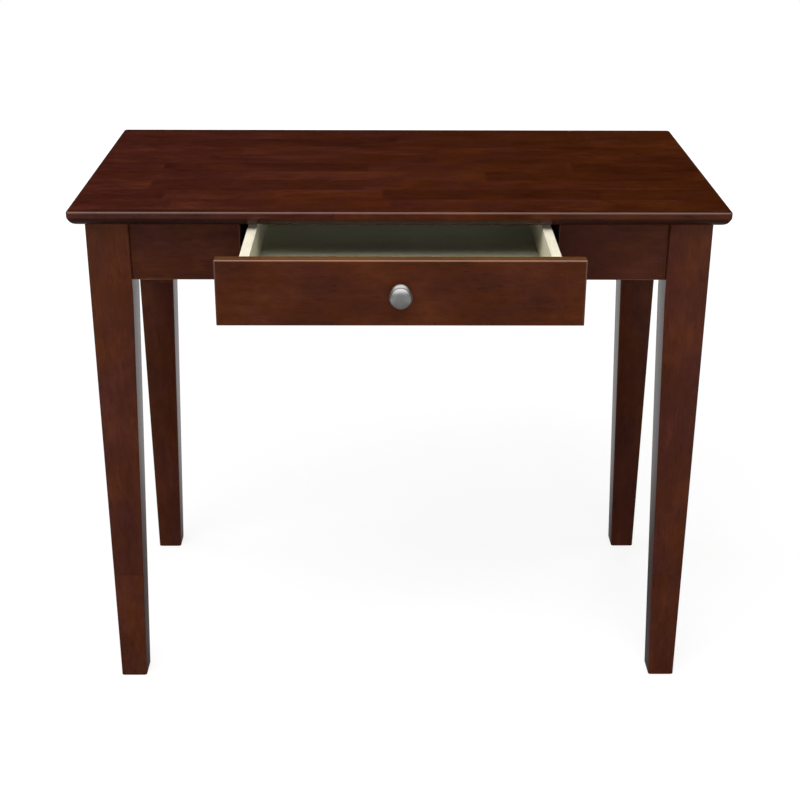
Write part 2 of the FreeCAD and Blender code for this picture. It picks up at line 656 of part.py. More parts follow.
def slide_screw(name, seat, into_drawer):
    """A flat-headed screw through a slide's web, and the hole that it takes."""
    x, y, z = seat
    if into_drawer:
        shank_x, head_x, hole_x = x, f"{x} - slide_screw_head", x
    else:
        shank_x, head_x = f"{x} - slide_screw_length", x
        hole_x = f"{x} - slide_screw_length - hole_room"
    shank = rod(f"{name}_shank", (shank_x, y, z), "X", "slide_screw_radius", "slide_screw_length")
    head = rod(f"{name}_head", (head_x, y, z), "X", "slide_screw_head_radius", "slide_screw_head")
    hole_radius = "slide_screw_radius + snug_fit"
    hole = rod(f"{name}_hole", (hole_x, y, z), "X", hole_radius, "slide_screw_length + hole_room")
    return fused(name, [shank, head]), hole


def slide_screws(prefix, shares, x, start, height, into_drawer):
    screws, holes = [], []
    for number, share in enumerate(shares):
        seat = (x, f"{start} + slide_length * {share}", height)
        screw, hole = slide_screw(f"{prefix}_{number}", seat, into_drawer)
        screws.append(screw)
        holes.append(hole)
    return screws, holes


def fixed_slide(screw_holes):
    """The channel on the runner board, with the stop that keeps the drawer in."""
    place = ("-half_opening", "slide_front", "side_bottom")
    inner_top = "fixed_height - steel"
    points = (("0", "0"), ("fixed_reach", "0"), ("fixed_reach", "steel"), ("steel", "steel"))
    points += (("steel", inner_top), ("fixed_reach", inner_top))
    points += (("fixed_reach", "fixed_height"), ("0", "fixed_height"))
    channel, _ = padded("fixed_channel", "XZ_Plane", points, "slide_length", place, reverse=True)
    stop_place = ("-half_opening + steel", "stop_y", "side_bottom + steel")
    stop = board("slide_stop", stop_place, "fixed_reach - steel", "stop_length", "stop_height")
    whole = fused("fixed_slide_blank", [channel, stop])
    pin = rod("fixed_pin_hole", fixed_pin_place("0"), "X", "pin_radius + pin_fit", "steel")
    return carved("left_fixed_slide", whole, [pin] + screw_holes)


def moving_slide(screw_holes):
    """The drawer's member: a foot under the side, a web, and a flange over the front roller."""
    place = ("web_x - flange_reach", "moving_front", "side_bottom - steel")
    web, inner = "flange_reach", "flange_reach + steel"
    under = "flange_z - side_bottom + steel"
    over = f"{under} + steel"
    points = ((web, "0"), (f"{inner} + foot_reach", "0"), (f"{inner} + foot_reach", "steel"))
    points += ((inner, "steel"), (inner, over), ("0", over), ("0", under), (web, under))
    profile, _ = padded("moving_profile", "XZ_Plane", points, "slide_length", place, reverse=True)
    pin = rod("moving_pin_hole", moving_pin_place("0"), "X", "pin_radius + pin_fit", "steel")
    return carved("left_moving_slide", profile, [pin] + screw_holes)


def fixed_pin_place(offset):
    """A place on the front roller's axis, measured from the runner board."""
    return (f"-half_opening + {offset}", "front_roller_y", "front_roller_z")


def moving_pin_place(offset):
    """A place on the rear roller's axis, measured from the outer face of the moving web."""
    return (f"web_x + {offset}", "rear_roller_y", "rear_roller_z")


def roller(name, place):
    disc = rod(f"{name}_disc", place, "X", "roller_radius", "roller_width")
    bore = rod(f"{name}_bore", place, "X", "pin_radius + pin_fit", "roller_width")
    return carved(name, disc, [bore])


def rollers_and_pins():
    carry = "steel + roller_play"
    reach = f"{carry} + roller_width + pin_play"
    front = roller("left_front_roller", fixed_pin_place(carry))
    shaft = rod("front_pin_shaft", fixed_pin_place("0"), "X", "pin_radius", reach)
    head = rod("front_pin_head", fixed_pin_place(reach), "X", "pin_head_radius", "pin_head")
    front_pin = fused("front_roller_pin", [shaft, head])
    out = "-roller_play - roller_width"
    rear = roller("left_rear_roller", moving_pin_place(out))
    shaft = rod("rear_pin_shaft", moving_pin_place(f"{out} - pin_play"), "X", "pin_radius", reach)
    head_place = moving_pin_place(f"{out} - pin_play - pin_head")
    head = rod("rear_pin_head", head_place, "X", "pin_head_radius", "pin_head")
    rear_pin = fused("rear_roller_pin", [shaft, head])
    return front, front_pin, rear, rear_pin


# Drawer


def dovetail(name, play, bottom, height):
    """The tail on a drawer side's front end or, with play, the slot that takes it."""
    place = ("-half_box", f"drawer_y - tail_depth - {play}", bottom)
    half = {"end": f"(tail_width / 2 + {play})", "root": f"(tail_neck / 2 + {play})"}
    middle = "side_thickness / 2"
    root = f"tail_depth + {play}"
    points = ((f"{middle} - {half['end']}", "0"), (f"{middle} + {half['end']}", "0"))
    points += ((f"{middle} + {half['root']}", root), (f"{middle} - {half['root']}", root))
    body, _ = padded(name, "XY_Plane", points, height, place)
    return body


def drawer_front(screw_hole):
    place = ("-front_width / 2", "drawer_y - front_thickness", "front_bottom")
    face = rectangle("front_width", "front_height")
    body, _ = padded("front_board", "XZ_Plane", face, "front_thickness", place, reverse=True)
    eased(body, "front_edges", "Fillet", "front_round", lies_at("y", "0"))
    tail_top = "side_bottom + side_height - tail_stop + snug_fit"
    slot = dovetail("tail_slot", "snug_fit", "front_bottom", f"{tail_top} - front_bottom")
    groove_place = ("-panel_reach", "drawer_y - groove_depth", "panel_z")
    height = "panel_thickness + panel_play"
    groove = board("front_groove", groove_place, "2 * panel_reach", "groove_depth + overrun", height)
    slots = [slot, mirrored("right_tail_slot", slot, "X")]
    return carved("drawer_front", body, slots + [groove, screw_hole])


def drawer_side(screw_holes, brad_holes):
    place = ("-half_box", "drawer_y", "side_bottom")
    blank = board("side_blank", place, "side_thickness", "box_depth", "side_height")
    tail = dovetail("side_tail", "0", "side_bottom", "side_height - tail_stop")
    groove_place = ("-panel_reach", "drawer_y - tail_depth - overrun", "panel_z")
    groove_length = "box_depth + tail_depth + 2 * overrun"
    height = "panel_thickness + panel_play"
    groove = board("side_groove", groove_place, "groove_depth + overrun", groove_length, height)
    housing_place = ("-half_box + side_thickness - back_housing", "back_y", "back_z")
    housing_height = "side_height + overrun"
    housing = board("back_slot", housing_place, "back_housing + overrun", "back_thickness", housing_height)
    whole = fused("side_whole", [blank, tail])
    return carved("drawer_left_side", whole, [groove, housing] + screw_holes + brad_holes)


def drawer_back(brad_holes, panel_holes):
    reach = "half_box - side_thickness + back_housing"
    place = (f"-({reach})", "back_y", "back_z")
    blank = board("back_blank", place, f"2 * ({reach})", "back_thickness", "back_height")
    return carved("drawer_back", blank, [pair("back_brad_holes", brad_holes)] + panel_holes)


def drawer_bottom(panel_holes):
    place = ("-panel_reach + snug_fit", "drawer_y - groove_depth + snug_fit", "panel_z")
    width = "2 * (panel_reach - snug_fit)"
    depth = "box_depth + groove_depth - snug_fit"
    blank = board("panel_blank", place, width, depth, "panel_thickness")
    return carved("drawer_bottom", blank, panel_holes)


def brads():
    """Brads through the left side into the drawer back, with their holes."""
    pins, holes = [], []
    for number, share in enumerate(BRAD_HEIGHT_SHARES):
        start = ("-half_box", "back_y + back_thickness / 2", f"back_z + back_height * {share}")
        pins.append(rod(f"brad_{number}", start, "X", "brad_radius", "brad_length"))
        depth = "brad_length + hole_room"
        holes.append(rod(f"brad_hole_{number}", start, "X", "brad_radius + snug_fit", depth))
    return pins, holes


def panel_screws():
    """Screws up through the drawer bottom into the back, with their holes."""
    screws, holes = [], []
    length = "panel_thickness + panel_screw_bite"
    for number, share in enumerate(PANEL_SCREW_SHARES):
        x, y = f"(half_box - side_thickness) * {share}", "back_y + back_thickness / 2"
        shank = rod(f"panel_shank_{number}", (x, y, "panel_z"), "Z", "panel_screw_radius", length)
        under = (x, y, "panel_z - panel_screw_head")
        head = rod(f"panel_head_{number}", under, "Z", "panel_screw_head_radius", "panel_screw_head")
        screws.append(fused(f"panel_screw_{number}", [shank, head]))
        hole_radius = "panel_screw_radius + snug_fit"
        hole_length = f"{length} + hole_room"
        holes.append(rod(f"panel_hole_{number}", (x, y, "panel_z"), "Z", hole_radius, hole_length))
    return screws, holes


def knob():
    """A turned knob: a base disc, a waist, and a wide head with a raised face."""
    points = (("0", "0"), ("knob_base_radius", "0"), ("knob_base_radius", "knob_base"))
    points += (("knob_skirt_radius", "knob_base + knob_skirt"),)
    points += (("knob_neck_radius", "knob_waist_end - knob_waist"),)
    points += (("knob_neck_radius", "knob_waist_end"),)
    points += (("knob_head_radius", "knob_waist_end + knob_flare"),)
    points += (("knob_head_radius", "knob_rim_end"), ("knob_ring_radius", "knob_rim_end"))
    points += (("knob_ring_radius", "knob_length"), ("0", "knob_length"))
    face = ("0", "drawer_y - front_thickness", "knob_z")
    body = make("PartDesign::Body", "knob_turning", face, "forward")
    sketch = outline(body, "knob_outline", "XZ_Plane", points)
    turned = body.newObject("PartDesign::Revolution", "knob_revolution")
    turned.Profile = sketch
    turned.ReferenceAxis = (sketch, ["V_Axis"])
    turned.Angle = 360
    doc.recompute()
    eased(body, "knob_face", "Fillet", "knob_face_round", lies_at("z", "knob_length"))
    bore_place = ("0", "drawer_y - front_thickness - knob_bore_depth", "knob_z")
    bore = rod("knob_bore", bore_place, "Y", "knob_screw_radius + snug_fit", "knob_bore_depth")
    return carved("drawer_knob", body, [bore])


def knob_screw():
    tip = ("0", "drawer_y - front_thickness - knob_screw_bite", "knob_z")
    shank = rod("knob_shank", tip, "Y", "knob_screw_radius", "front_thickness + knob_screw_bite")
    seat = ("0", "drawer_y", "knob_z")
    head = rod("knob_screw_cap", seat, "Y", "knob_screw_head_radius", "knob_screw_head")
    return fused("knob_screw", [shank, head])


def knob_hole():
    place = ("0", "drawer_y - front_thickness - overrun", "knob_z")
    radius = "knob_screw_radius + knob_screw_clearance"
    return rod("knob_screw_hole", place, "Y", radius, "front_thickness + 2 * overrun")


def build_frame():
    dowel_hole = "dowel_radius + snug_fit"
    dowels = corner_dowels("apron_dowel", "dowel_radius", "0")
    dowel_holes = corner_dowels("apron_dowel_hole", dowel_hole, "hole_room")
    screws, bores, pilots = block_screws()
    up_screws, up_holes = top_screws()
    runner_holes = runner_dowels("runner_dowel_hole", dowel_hole, "hole_room")
    rail_hole = rail_dowel("rail_dowel_hole", dowel_hole, "hole_room")
    side_screw, side_hole = rail_screw()
    middle = "side_bottom + fixed_height / 2"
    channel_face = "-half_opening + steel"
    fixed_screws, fixed_holes = slide_screws(
        "fixed_screw", FIXED_SCREW_SHARES, channel_face, "slide_front", middle, False
    )
    node(desk_top(corners("top_screw_holes", up_holes)))
    all_corners(leg(dowel_holes), "leg")
    both_sides(side_apron(dowel_holes, pilots), "right_apron")
    node(rear_apron(dowel_holes, pilots, runner_holes))
    both_sides(front_apron(dowel_holes, pilots, runner_holes, rail_hole), "front_right_apron")
    node(drawer_rail(rail_hole, side_hole))
    both_sides(runner_board(runner_holes, side_hole, fixed_holes), "right_runner_board")
    all_corners(corner_block(bores, pilots, up_holes), "corner_block")
    node(corners("leg_bolts", [hanger_bolt()]))
    node(corners("leg_bolt_washers", [bolt_washer()]))
    node(corners("leg_bolt_nuts", [bolt_nut()]))
    node(corners("corner_block_screws", screws))
    node(corners("desk_top_screws", up_screws))
    node(corners("apron_dowels", dowels["X"] + dowels["Y"]))
    node(corners("runner_dowels", runner_dowels("runner_dowel", "dowel_radius", "0")))
    node(pair("rail_dowels", [rail_dowel("rail_dowel", "dowel_radius", "0")]))
    node(pair("rail_screws", [side_screw]))
    both_sides(fixed_slide(fixed_holes), "right_fixed_slide")
    node(pair("fixed_slide_screws", fixed_screws))


def build_drawer():
    below_flange = "flange_z - flange_gap - slide_screw_head_radius"
    moving_screws, moving_holes = slide_screws(
        "moving_screw", MOVING_SCREW_SHARES, "web_x", "moving_front", below_flange, True
    )
    pins, brad_holes = brads()
    screws, panel_holes = panel_screws()
    node(drawer_front(knob_hole()))
    both_sides(drawer_side(moving_holes, brad_holes), "drawer_right_side")
    node(drawer_back(brad_holes, panel_holes))
    node(drawer_bottom(panel_holes))
    node(pair("drawer_back_brads", pins))
    node(gathered("drawer_bottom_screws", screws))
    node(knob())
    node(knob_screw())
    both_sides(moving_slide(moving_holes), "right_moving_slide")
    node(pair("moving_slide_screws", moving_screws))


def build_rollers():
    front, front_pin, rear, rear_pin = rollers_and_pins()
    both_sides(front, "right_front_roller")
    both_sides(rear, "right_rear_roller")
    node(pair("front_roller_pins", [front_pin]))
    node(pair("rear_roller_pins", [rear_pin]))


def write_parts():
    doc.recompute()
    for piece in doc.Objects:
        if "Invalid" in piece.State or "Error" in piece.State:
            raise RuntimeError(f"{piece.Label} failed: {piece.State}")
    for piece in nodes:
        if piece.Shape.isNull() or not piece.Shape.isValid():
            raise RuntimeError(f"{piece.Label} has no sound shape")
    os.makedirs("parts", exist_ok=True)
    for piece in nodes:
        piece.Shape.exportStep(f"parts/{piece.Label}.step")
        print(piece.Label, len(piece.Shape.Solids), round(piece.Shape.Volume))


fill_sheet()
build_frame()
build_drawer()
build_rollers()
write_parts()
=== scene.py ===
# %% [markdown]
# # A writing desk with one drawer
# The desk is a dark stained table with tapered legs and a shallow drawer that stands part open.
# The engineering model gives every board its true place and size, so this lesson starts by
# loading it. What is left is the craft of looks: finer edges, real wood, metal and light.

import json
import math

import bmesh
import bpy
from mathutils import Matrix, Vector


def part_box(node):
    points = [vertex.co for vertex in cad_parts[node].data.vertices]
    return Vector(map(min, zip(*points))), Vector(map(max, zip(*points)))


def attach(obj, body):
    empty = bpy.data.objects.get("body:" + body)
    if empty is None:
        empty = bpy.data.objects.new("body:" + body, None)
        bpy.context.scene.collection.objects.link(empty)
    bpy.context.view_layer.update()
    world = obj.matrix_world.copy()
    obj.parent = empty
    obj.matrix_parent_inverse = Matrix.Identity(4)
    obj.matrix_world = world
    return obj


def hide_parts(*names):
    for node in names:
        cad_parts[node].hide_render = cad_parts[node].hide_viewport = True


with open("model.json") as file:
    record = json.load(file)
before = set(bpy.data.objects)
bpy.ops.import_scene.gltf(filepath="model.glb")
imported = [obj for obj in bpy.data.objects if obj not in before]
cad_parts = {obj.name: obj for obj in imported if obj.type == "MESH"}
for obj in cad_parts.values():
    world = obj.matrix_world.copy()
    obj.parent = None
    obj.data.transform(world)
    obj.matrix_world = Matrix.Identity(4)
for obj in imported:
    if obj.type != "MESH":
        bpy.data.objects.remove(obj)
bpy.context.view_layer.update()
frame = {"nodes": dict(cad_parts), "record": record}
nodes = frame["nodes"]
scene = bpy.context.scene

# %% [markdown]
# The camera comes first, because everything else is judged through it. Its place and its long
# lens were worked out from the corners of the desk top, the drawer front and the feet, so the
# desk falls where the photograph has it. The three axes are written out from the camera's pitch,
# yaw and roll, which keeps the numbers readable.

# %% Camera
CAMERA_PLACE = Vector((-0.01858, -2.11093, 1.31957))
CAMERA_PITCH, CAMERA_YAW, CAMERA_ROLL = 0.40689, 0.01017, 0.00422
FOCAL_PIXELS, PICTURE_PIXELS = 1466.28, 800
SENSOR_WIDTH = 36


def camera_axes():
    ahead = Vector((math.sin(CAMERA_YAW), math.cos(CAMERA_YAW), 0)) * math.cos(CAMERA_PITCH)
    ahead.z = -math.sin(CAMERA_PITCH)
    level = Vector((math.cos(CAMERA_YAW), -math.sin(CAMERA_YAW), 0))
    rise = level.cross(ahead)
    right = level * math.cos(CAMERA_ROLL) + rise * math.sin(CAMERA_ROLL)
    up = rise * math.cos(CAMERA_ROLL) - level * math.sin(CAMERA_ROLL)
    return right, up, -ahead


lens = bpy.data.cameras.new("camera")
lens.sensor_width = SENSOR_WIDTH
lens.lens = SENSOR_WIDTH * FOCAL_PIXELS / PICTURE_PIXELS
lens.clip_end = 100
camera = bpy.data.objects.new("camera", lens)
scene.collection.objects.link(camera)
turned = Matrix(camera_axes()).transposed().to_4x4()
camera.matrix_world = Matrix.Translation(CAMERA_PLACE) @ turned
scene.camera = camera
print("lens", round(lens.lens, 2), "mm")

# %% [markdown]
# A small studio. One wide softbox hangs over the desk and a second one leans in from the front
# left, and these two light the top. A low one in front lights the faces without reaching into the
# drawer, and three fills keep the back and the sides from going black. Small lamps leave hard
# white spots on metal, so shiny surfaces don't see the lamps at all: the sky below is what they
# mirror.

# %% Light
scene.view_settings.view_transform = "Standard"
LAMPS = {
    # name: place, aim, size, watts
    "overhead": ((-0.3, -0.2, 3.1), (0, 0.05, 0.7), (4.0, 1.6), 42),
    "key": ((-0.9, -1.9, 3.3), (0, -0.1, 0.6), (4.0, 1.2), 104),
    "front_low": ((0.3, -4.6, 1.15), (0, -0.1, 0.55), (4.0, 2.0), 150),
    "back_fill": ((0.6, 4.4, 1.7), (0, -0.1, 0.55), (3.0, 1.6), 84),
    "left_fill": ((-4.2, 0.8, 1.5), (0, -0.1, 0.55), (2.4, 1.6), 46),
    "right_fill": ((4.2, 0.8, 1.5), (0, -0.1, 0.55), (2.4, 1.6), 46),
}


def softbox(name, place, aim, size, watts):
    lamp = bpy.data.lights.new(name, "AREA")
    lamp.shape = "RECTANGLE"
    lamp.size, lamp.size_y = size
    lamp.energy = watts
    obj = bpy.data.objects.new(name, lamp)
    obj.location = place
    obj.rotation_euler = (Vector(aim) - Vector(place)).to_track_quat("-Z", "Y").to_euler()
    obj.visible_glossy = False
    scene.collection.objects.link(obj)


for name, settings in LAMPS.items():
    softbox(name, *settings)

# %% [markdown]
# The sky, the floor and every finish below are small graphs of nodes. Three helpers keep the
# graphs short: one adds a node with its settings and inputs, one adds a sum, and one fades from
# one value to another.

# %% Helpers for node graphs


def add(tree, kind, settings=None, inputs=None):
    """Adds a node, with its settings by name and its inputs by name or number."""
    made = tree.nodes.new(kind)
    for name, value in (settings or {}).items():
        setattr(made, name, value)
    for name, value in (inputs or {}).items():
        if isinstance(value, bpy.types.NodeSocket):
            tree.links.new(value, made.inputs[name])
        else:
            made.inputs[name].default_value = value
    return made


def reckon(tree, operation, first, second=0.0, third=0.0):
    """A Math node on numbers or sockets, as one output."""
    inputs = {0: first, 1: second, 2: third}
    return add(tree, "ShaderNodeMath", {"operation": operation}, inputs).outputs[0]


def fade(tree, value, band, low, high, blend="SMOOTHSTEP"):
    """Goes from low to high while a value crosses a band."""
    inputs = {"Value": value, "From Min": band[0], "From Max": band[1], "To Min": low, "To Max": high}
    return add(tree, "ShaderNodeMapRange", {"interpolation_type": blend}, inputs).outputs[0]


# %% [markdown]
# The sky is white for the camera. As light it is only a pale horizon under a dim ceiling, so that
# the satin top stays dark. For shiny surfaces it is a soft dome, brightest over the front and
# fading towards the back, above a faint pale wall that runs round the front and the sides. The
# knob mirrors the dome as one broad crescent and the wall as an even grey, and the polished edges
# pick up the dome as a thin line.

# %% Sky
HORIZON_FILL, CEILING_SHARE, HORIZON_BAND = 0.45, 0.02, (-0.05, 0.1)
DOME_SHINE, DOME_BAND = 1.6, (0.3, 1.0)
DOME_FORWARD, DOME_SPREAD, DOME_LEFT = 0.2, 0.15, 0.05
WALL_SHINE, WALL_BAND = 0.34, (-0.1, 0.6)

world = bpy.data.worlds.new("studio")
scene.world = world
world.use_nodes = True
sky = world.node_tree
sky.nodes.clear()
ray = add(sky, "ShaderNodeLightPath").outputs
aim = add(sky, "ShaderNodeTexCoord").outputs["Generated"]
sides = add(sky, "ShaderNodeSeparateXYZ", None, {0: aim}).outputs
dim = fade(sky, sides["Z"], HORIZON_BAND, 1.0, CEILING_SHARE)
lean = reckon(sky, "MULTIPLY_ADD", sides["Y"], -DOME_FORWARD, sides["Z"])
lean = reckon(sky, "MULTIPLY_ADD", reckon(sky, "ABSOLUTE", sides["X"]), DOME_SPREAD, lean)
lean = reckon(sky, "MULTIPLY_ADD", sides["X"], -DOME_LEFT, lean)
dome = fade(sky, lean, DOME_BAND, 0.0, DOME_SHINE)
wall = fade(sky, sides["Y"], WALL_BAND, WALL_SHINE, 0.0)
shine = reckon(sky, "MAXIMUM", dome, wall)
fill = reckon(sky, "MULTIPLY", dim, HORIZON_FILL)
blend = {"Factor": ray["Is Glossy Ray"], 2: fill, 3: shine}
soft = add(sky, "ShaderNodeMix", {"data_type": "FLOAT"}, blend).outputs[0]
shown = reckon(sky, "MAXIMUM", ray["Is Camera Ray"], ray["Is Transmission Ray"])
level = reckon(sky, "MAXIMUM", shown, soft)
glow = add(sky, "ShaderNodeBackground", None, {"Color": (1, 1, 1, 1), "Strength": level})
add(sky, "ShaderNodeOutputWorld", None, {"Surface": glow.outputs[0]})
print("sky fill", HORIZON_FILL, "dome", DOME_SHINE, "wall", WALL_SHINE)

# %% [markdown]
# The floor is a wide white sheet. A truly white one would light the desk from below and wash it
# out, so the sheet is a matt grey that takes the soft shadow, and it glows only where it is
# looked at: by the camera, and by shiny surfaces that mirror it behind the desk or beside it.
# The glow grows outwards, so that the sheet runs into the sky without an edge.

# %% Floor
FLOOR_REACH, FLOOR_GREY = 5.0, 0.2
FLOOR_GLOW, GLOW_BAND = 0.83, (0.9, 3.2)
BACK_MIRROR, BACK_BAND = 0.5, (0.1, 0.8)
SIDE_MIRROR, SIDE_BAND = 0.3, (0.5, 1.2)

sheet = bpy.data.meshes.new("floor")
corners = [(-1, -1, 0), (1, -1, 0), (1, 1, 0), (-1, 1, 0)]
sheet.from_pydata([Vector(corner) * FLOOR_REACH for corner in corners], [], [(0, 1, 2, 3)])
floor = bpy.data.objects.new("floor", sheet)
scene.collection.objects.link(floor)
paper = bpy.data.materials.new("floor_paper")
paper.use_nodes = True
tree = paper.node_tree
tree.nodes.clear()
ray = add(tree, "ShaderNodeLightPath").outputs
matt = add(tree, "ShaderNodeBsdfDiffuse", None, {"Color": (FLOOR_GREY, FLOOR_GREY, FLOOR_GREY, 1)})
spot = add(tree, "ShaderNodeTexCoord").outputs["Object"]
ways = add(tree, "ShaderNodeSeparateXYZ", None, {0: spot}).outputs
back = fade(tree, ways["Y"], BACK_BAND, 0.0, BACK_MIRROR)
beside = fade(tree, reckon(tree, "ABSOLUTE", ways["X"]), SIDE_BAND, 0.0, SIDE_MIRROR)
around = reckon(tree, "MAXIMUM", back, beside)
mirrored = reckon(tree, "MAXIMUM", ray["Is Glossy Ray"], ray["Is Transmission Ray"])
seen = reckon(tree, "MAXIMUM", ray["Is Camera Ray"], reckon(tree, "MULTIPLY", mirrored, around))
away = add(tree, "ShaderNodeVectorMath", {"operation": "LENGTH"}, {0: spot}).outputs["Value"]
strength = reckon(tree, "MULTIPLY", seen, fade(tree, away, GLOW_BAND, FLOOR_GLOW, 1.0))
glow = add(tree, "ShaderNodeEmission", None, {"Strength": strength})
both = add(tree, "ShaderNodeAddShader", None, {0: matt.outputs[0], 1: glow.outputs[0]})
add(tree, "ShaderNodeOutputMaterial", None, {"Surface": both.outputs[0]})
sheet.materials.append(paper)
print("floor reaches", FLOOR_REACH, "m")

# %% [markdown]
# The wood comes next, and its finishes share their figure. A shader group is a graph with named
# sockets that is built once and placed in many materials, so one helper opens a group. Another
# does sums on arrows, because grain is a matter of directions.

# %% Helpers for shared groups
NUMBER, ARROW = "NodeSocketFloat", "NodeSocketVector"


def shader_group(name, inputs, outputs):
    """A new group with its sockets, and the nodes that stand for its two ends."""
    group = bpy.data.node_groups.new(name, "ShaderNodeTree")
    for label, kind in inputs:
        group.interface.new_socket(label, in_out="INPUT", socket_type=kind)
    for label, kind in outputs:
        group.interface.new_socket(label, in_out="OUTPUT", socket_type=kind)
    ends = group.nodes.new("NodeGroupInput"), group.nodes.new("NodeGroupOutput")
    return group, ends[0].outputs, ends[1].inputs


def steer(tree, operation, first, second=(0, 0, 0)):
    """A Vector Math node on arrows or sockets; to scale, second is a number."""
    inputs = {0: first, "Scale" if operation == "SCALE" else 1: second}
    made = add(tree, "ShaderNodeVectorMath", {"operation": operation}, inputs)
    return made.outputs["Value" if operation == "LENGTH" else "Vector"]


# %% [markdown]
# The desk is made of narrow hardwood staves, glued side by side and end to end, then stained.
# Each stave took the stain a little differently, so the top is a quiet patchwork. A picture of
# boards would repeat and stretch. Instead, this group sorts every point of space into staves,
# and gives each stave a tone and a jump to another part of the tree, so its grain is its own.
# Grain runs along the group's X.

# %% Staves
SEAM = 0.0007
CHANCE_LAYER = 0.5
CENTRE = (0.5, 0.5, 0.5)
stave_group, given, result = shader_group(
    "glued_staves",
    [("Vector", ARROW), ("Stave Width", NUMBER), ("Stave Length", NUMBER), ("Jump", NUMBER)],
    [("Vector", ARROW), ("Tone", NUMBER), ("Seam", NUMBER)],
)


def draw_staves(tree, given, result):
    spot = add(tree, "ShaderNodeSeparateXYZ", None, {0: given["Vector"]}).outputs
    across = reckon(tree, "DIVIDE", spot["Y"], given["Stave Width"])
    row = reckon(tree, "FLOOR", across)
    flat = {"noise_dimensions": "1D"}
    start = add(tree, "ShaderNodeTexWhiteNoise", flat, {"W": row}).outputs["Value"]
    along = reckon(tree, "ADD", reckon(tree, "DIVIDE", spot["X"], given["Stave Length"]), start)
    parts = {0: row, 1: reckon(tree, "FLOOR", along), 2: CHANCE_LAYER}
    cell = add(tree, "ShaderNodeCombineXYZ", None, parts).outputs[0]
    solid = {"noise_dimensions": "3D"}
    chance = add(tree, "ShaderNodeTexWhiteNoise", solid, {"Vector": cell}).outputs
    leap = steer(tree, "SCALE", steer(tree, "SUBTRACT", chance["Color"], CENTRE), given["Jump"])
    gap_y = reckon(tree, "MULTIPLY", reckon(tree, "PINGPONG", across, 0.5), given["Stave Width"])
    gap_x = reckon(tree, "MULTIPLY", reckon(tree, "PINGPONG", along, 0.5), given["Stave Length"])
    nearest = reckon(tree, "MINIMUM", gap_x, gap_y)
    tree.links.new(steer(tree, "ADD", given["Vector"], leap), result["Vector"])
    tree.links.new(chance["Value"], result["Tone"])
    tree.links.new(fade(tree, nearest, (0.0, SEAM), 1.0, 0.0, "LINEAR"), result["Seam"])


draw_staves(stave_group, given, result)
print("group", stave_group.name, "with", len(stave_group.nodes), "nodes")

# %% [markdown]
# Inside a stave the figure is solid, as in a real tree: growth rings are cylinders round a pith
# line, bent by noise, so a face shows long figure and an end shows arcs. Fine streaks follow the
# fibres, flecks are short marks between them, and pores are thin dark dashes. A broad cloud is
# where the stain soaked in unevenly, and its second channel says how warm the stain is there.

# %% Figure of the wood
PITH = (0.0, 0.09, 0.16)
RING_SHARPNESS = 1.6
MARK_ROUGHNESS = 0.6
PORE_BAND = (0.6, 0.74)
MARKS = {
    # name: repeats per metre along the grain and across it, detail
    "sway": (1.4, 7, 2.0),
    "streaks": (8, 230, 3.0),
    "flecks": (50, 110, 5.0),
    "pores": (42, 620, 1.0),
    "cloud": (10, 18, 4.0),
}
figure_group, given, result = shader_group(
    "wood_figure",
    [("Vector", ARROW), ("Ring Width", NUMBER), ("Warp", NUMBER)],
    [
        ("Rings", NUMBER), ("Streaks", NUMBER), ("Pores", NUMBER), ("Flecks", NUMBER),
        ("Cloud", NUMBER), ("Warmth", NUMBER),
    ],
)


def grain_noise(tree, source, name, output="Fac"):
    """Noise drawn out along the grain."""
    along, across, detail = MARKS[name]
    drawn = steer(tree, "MULTIPLY", source, (along, across, across))
    inputs = {"Vector": drawn, "Scale": 1.0, "Detail": detail, "Roughness": MARK_ROUGHNESS}
    return add(tree, "ShaderNodeTexNoise", None, inputs).outputs[output]


def draw_figure(tree, given, result):
    place = given["Vector"]
    wobble = steer(tree, "SUBTRACT", grain_noise(tree, place, "sway", "Color"), CENTRE)
    bent = steer(tree, "ADD", place, steer(tree, "SCALE", wobble, given["Warp"]))
    from_pith = steer(tree, "MULTIPLY", steer(tree, "ADD", bent, PITH), (0, 1, 1))
    years = reckon(tree, "DIVIDE", steer(tree, "LENGTH", from_pith), given["Ring Width"])
    rings = reckon(tree, "POWER", reckon(tree, "PINGPONG", years, 1.0), RING_SHARPNESS)
    pores = fade(tree, grain_noise(tree, place, "pores"), PORE_BAND, 0.0, 1.0, "LINEAR")
    blotch = grain_noise(tree, place, "cloud", "Color")
    cloud = add(tree, "ShaderNodeSeparateColor", None, {0: blotch}).outputs
    tree.links.new(rings, result["Rings"])
    tree.links.new(grain_noise(tree, place, "streaks"), result["Streaks"])
    tree.links.new(grain_noise(tree, place, "flecks"), result["Flecks"])
    tree.links.new(pores, result["Pores"])
    tree.links.new(cloud[0], result["Cloud"])
    tree.links.new(cloud[1], result["Warmth"])


draw_figure(figure_group, given, result)
print("group", figure_group.name, "with", len(figure_group.nodes), "nodes")
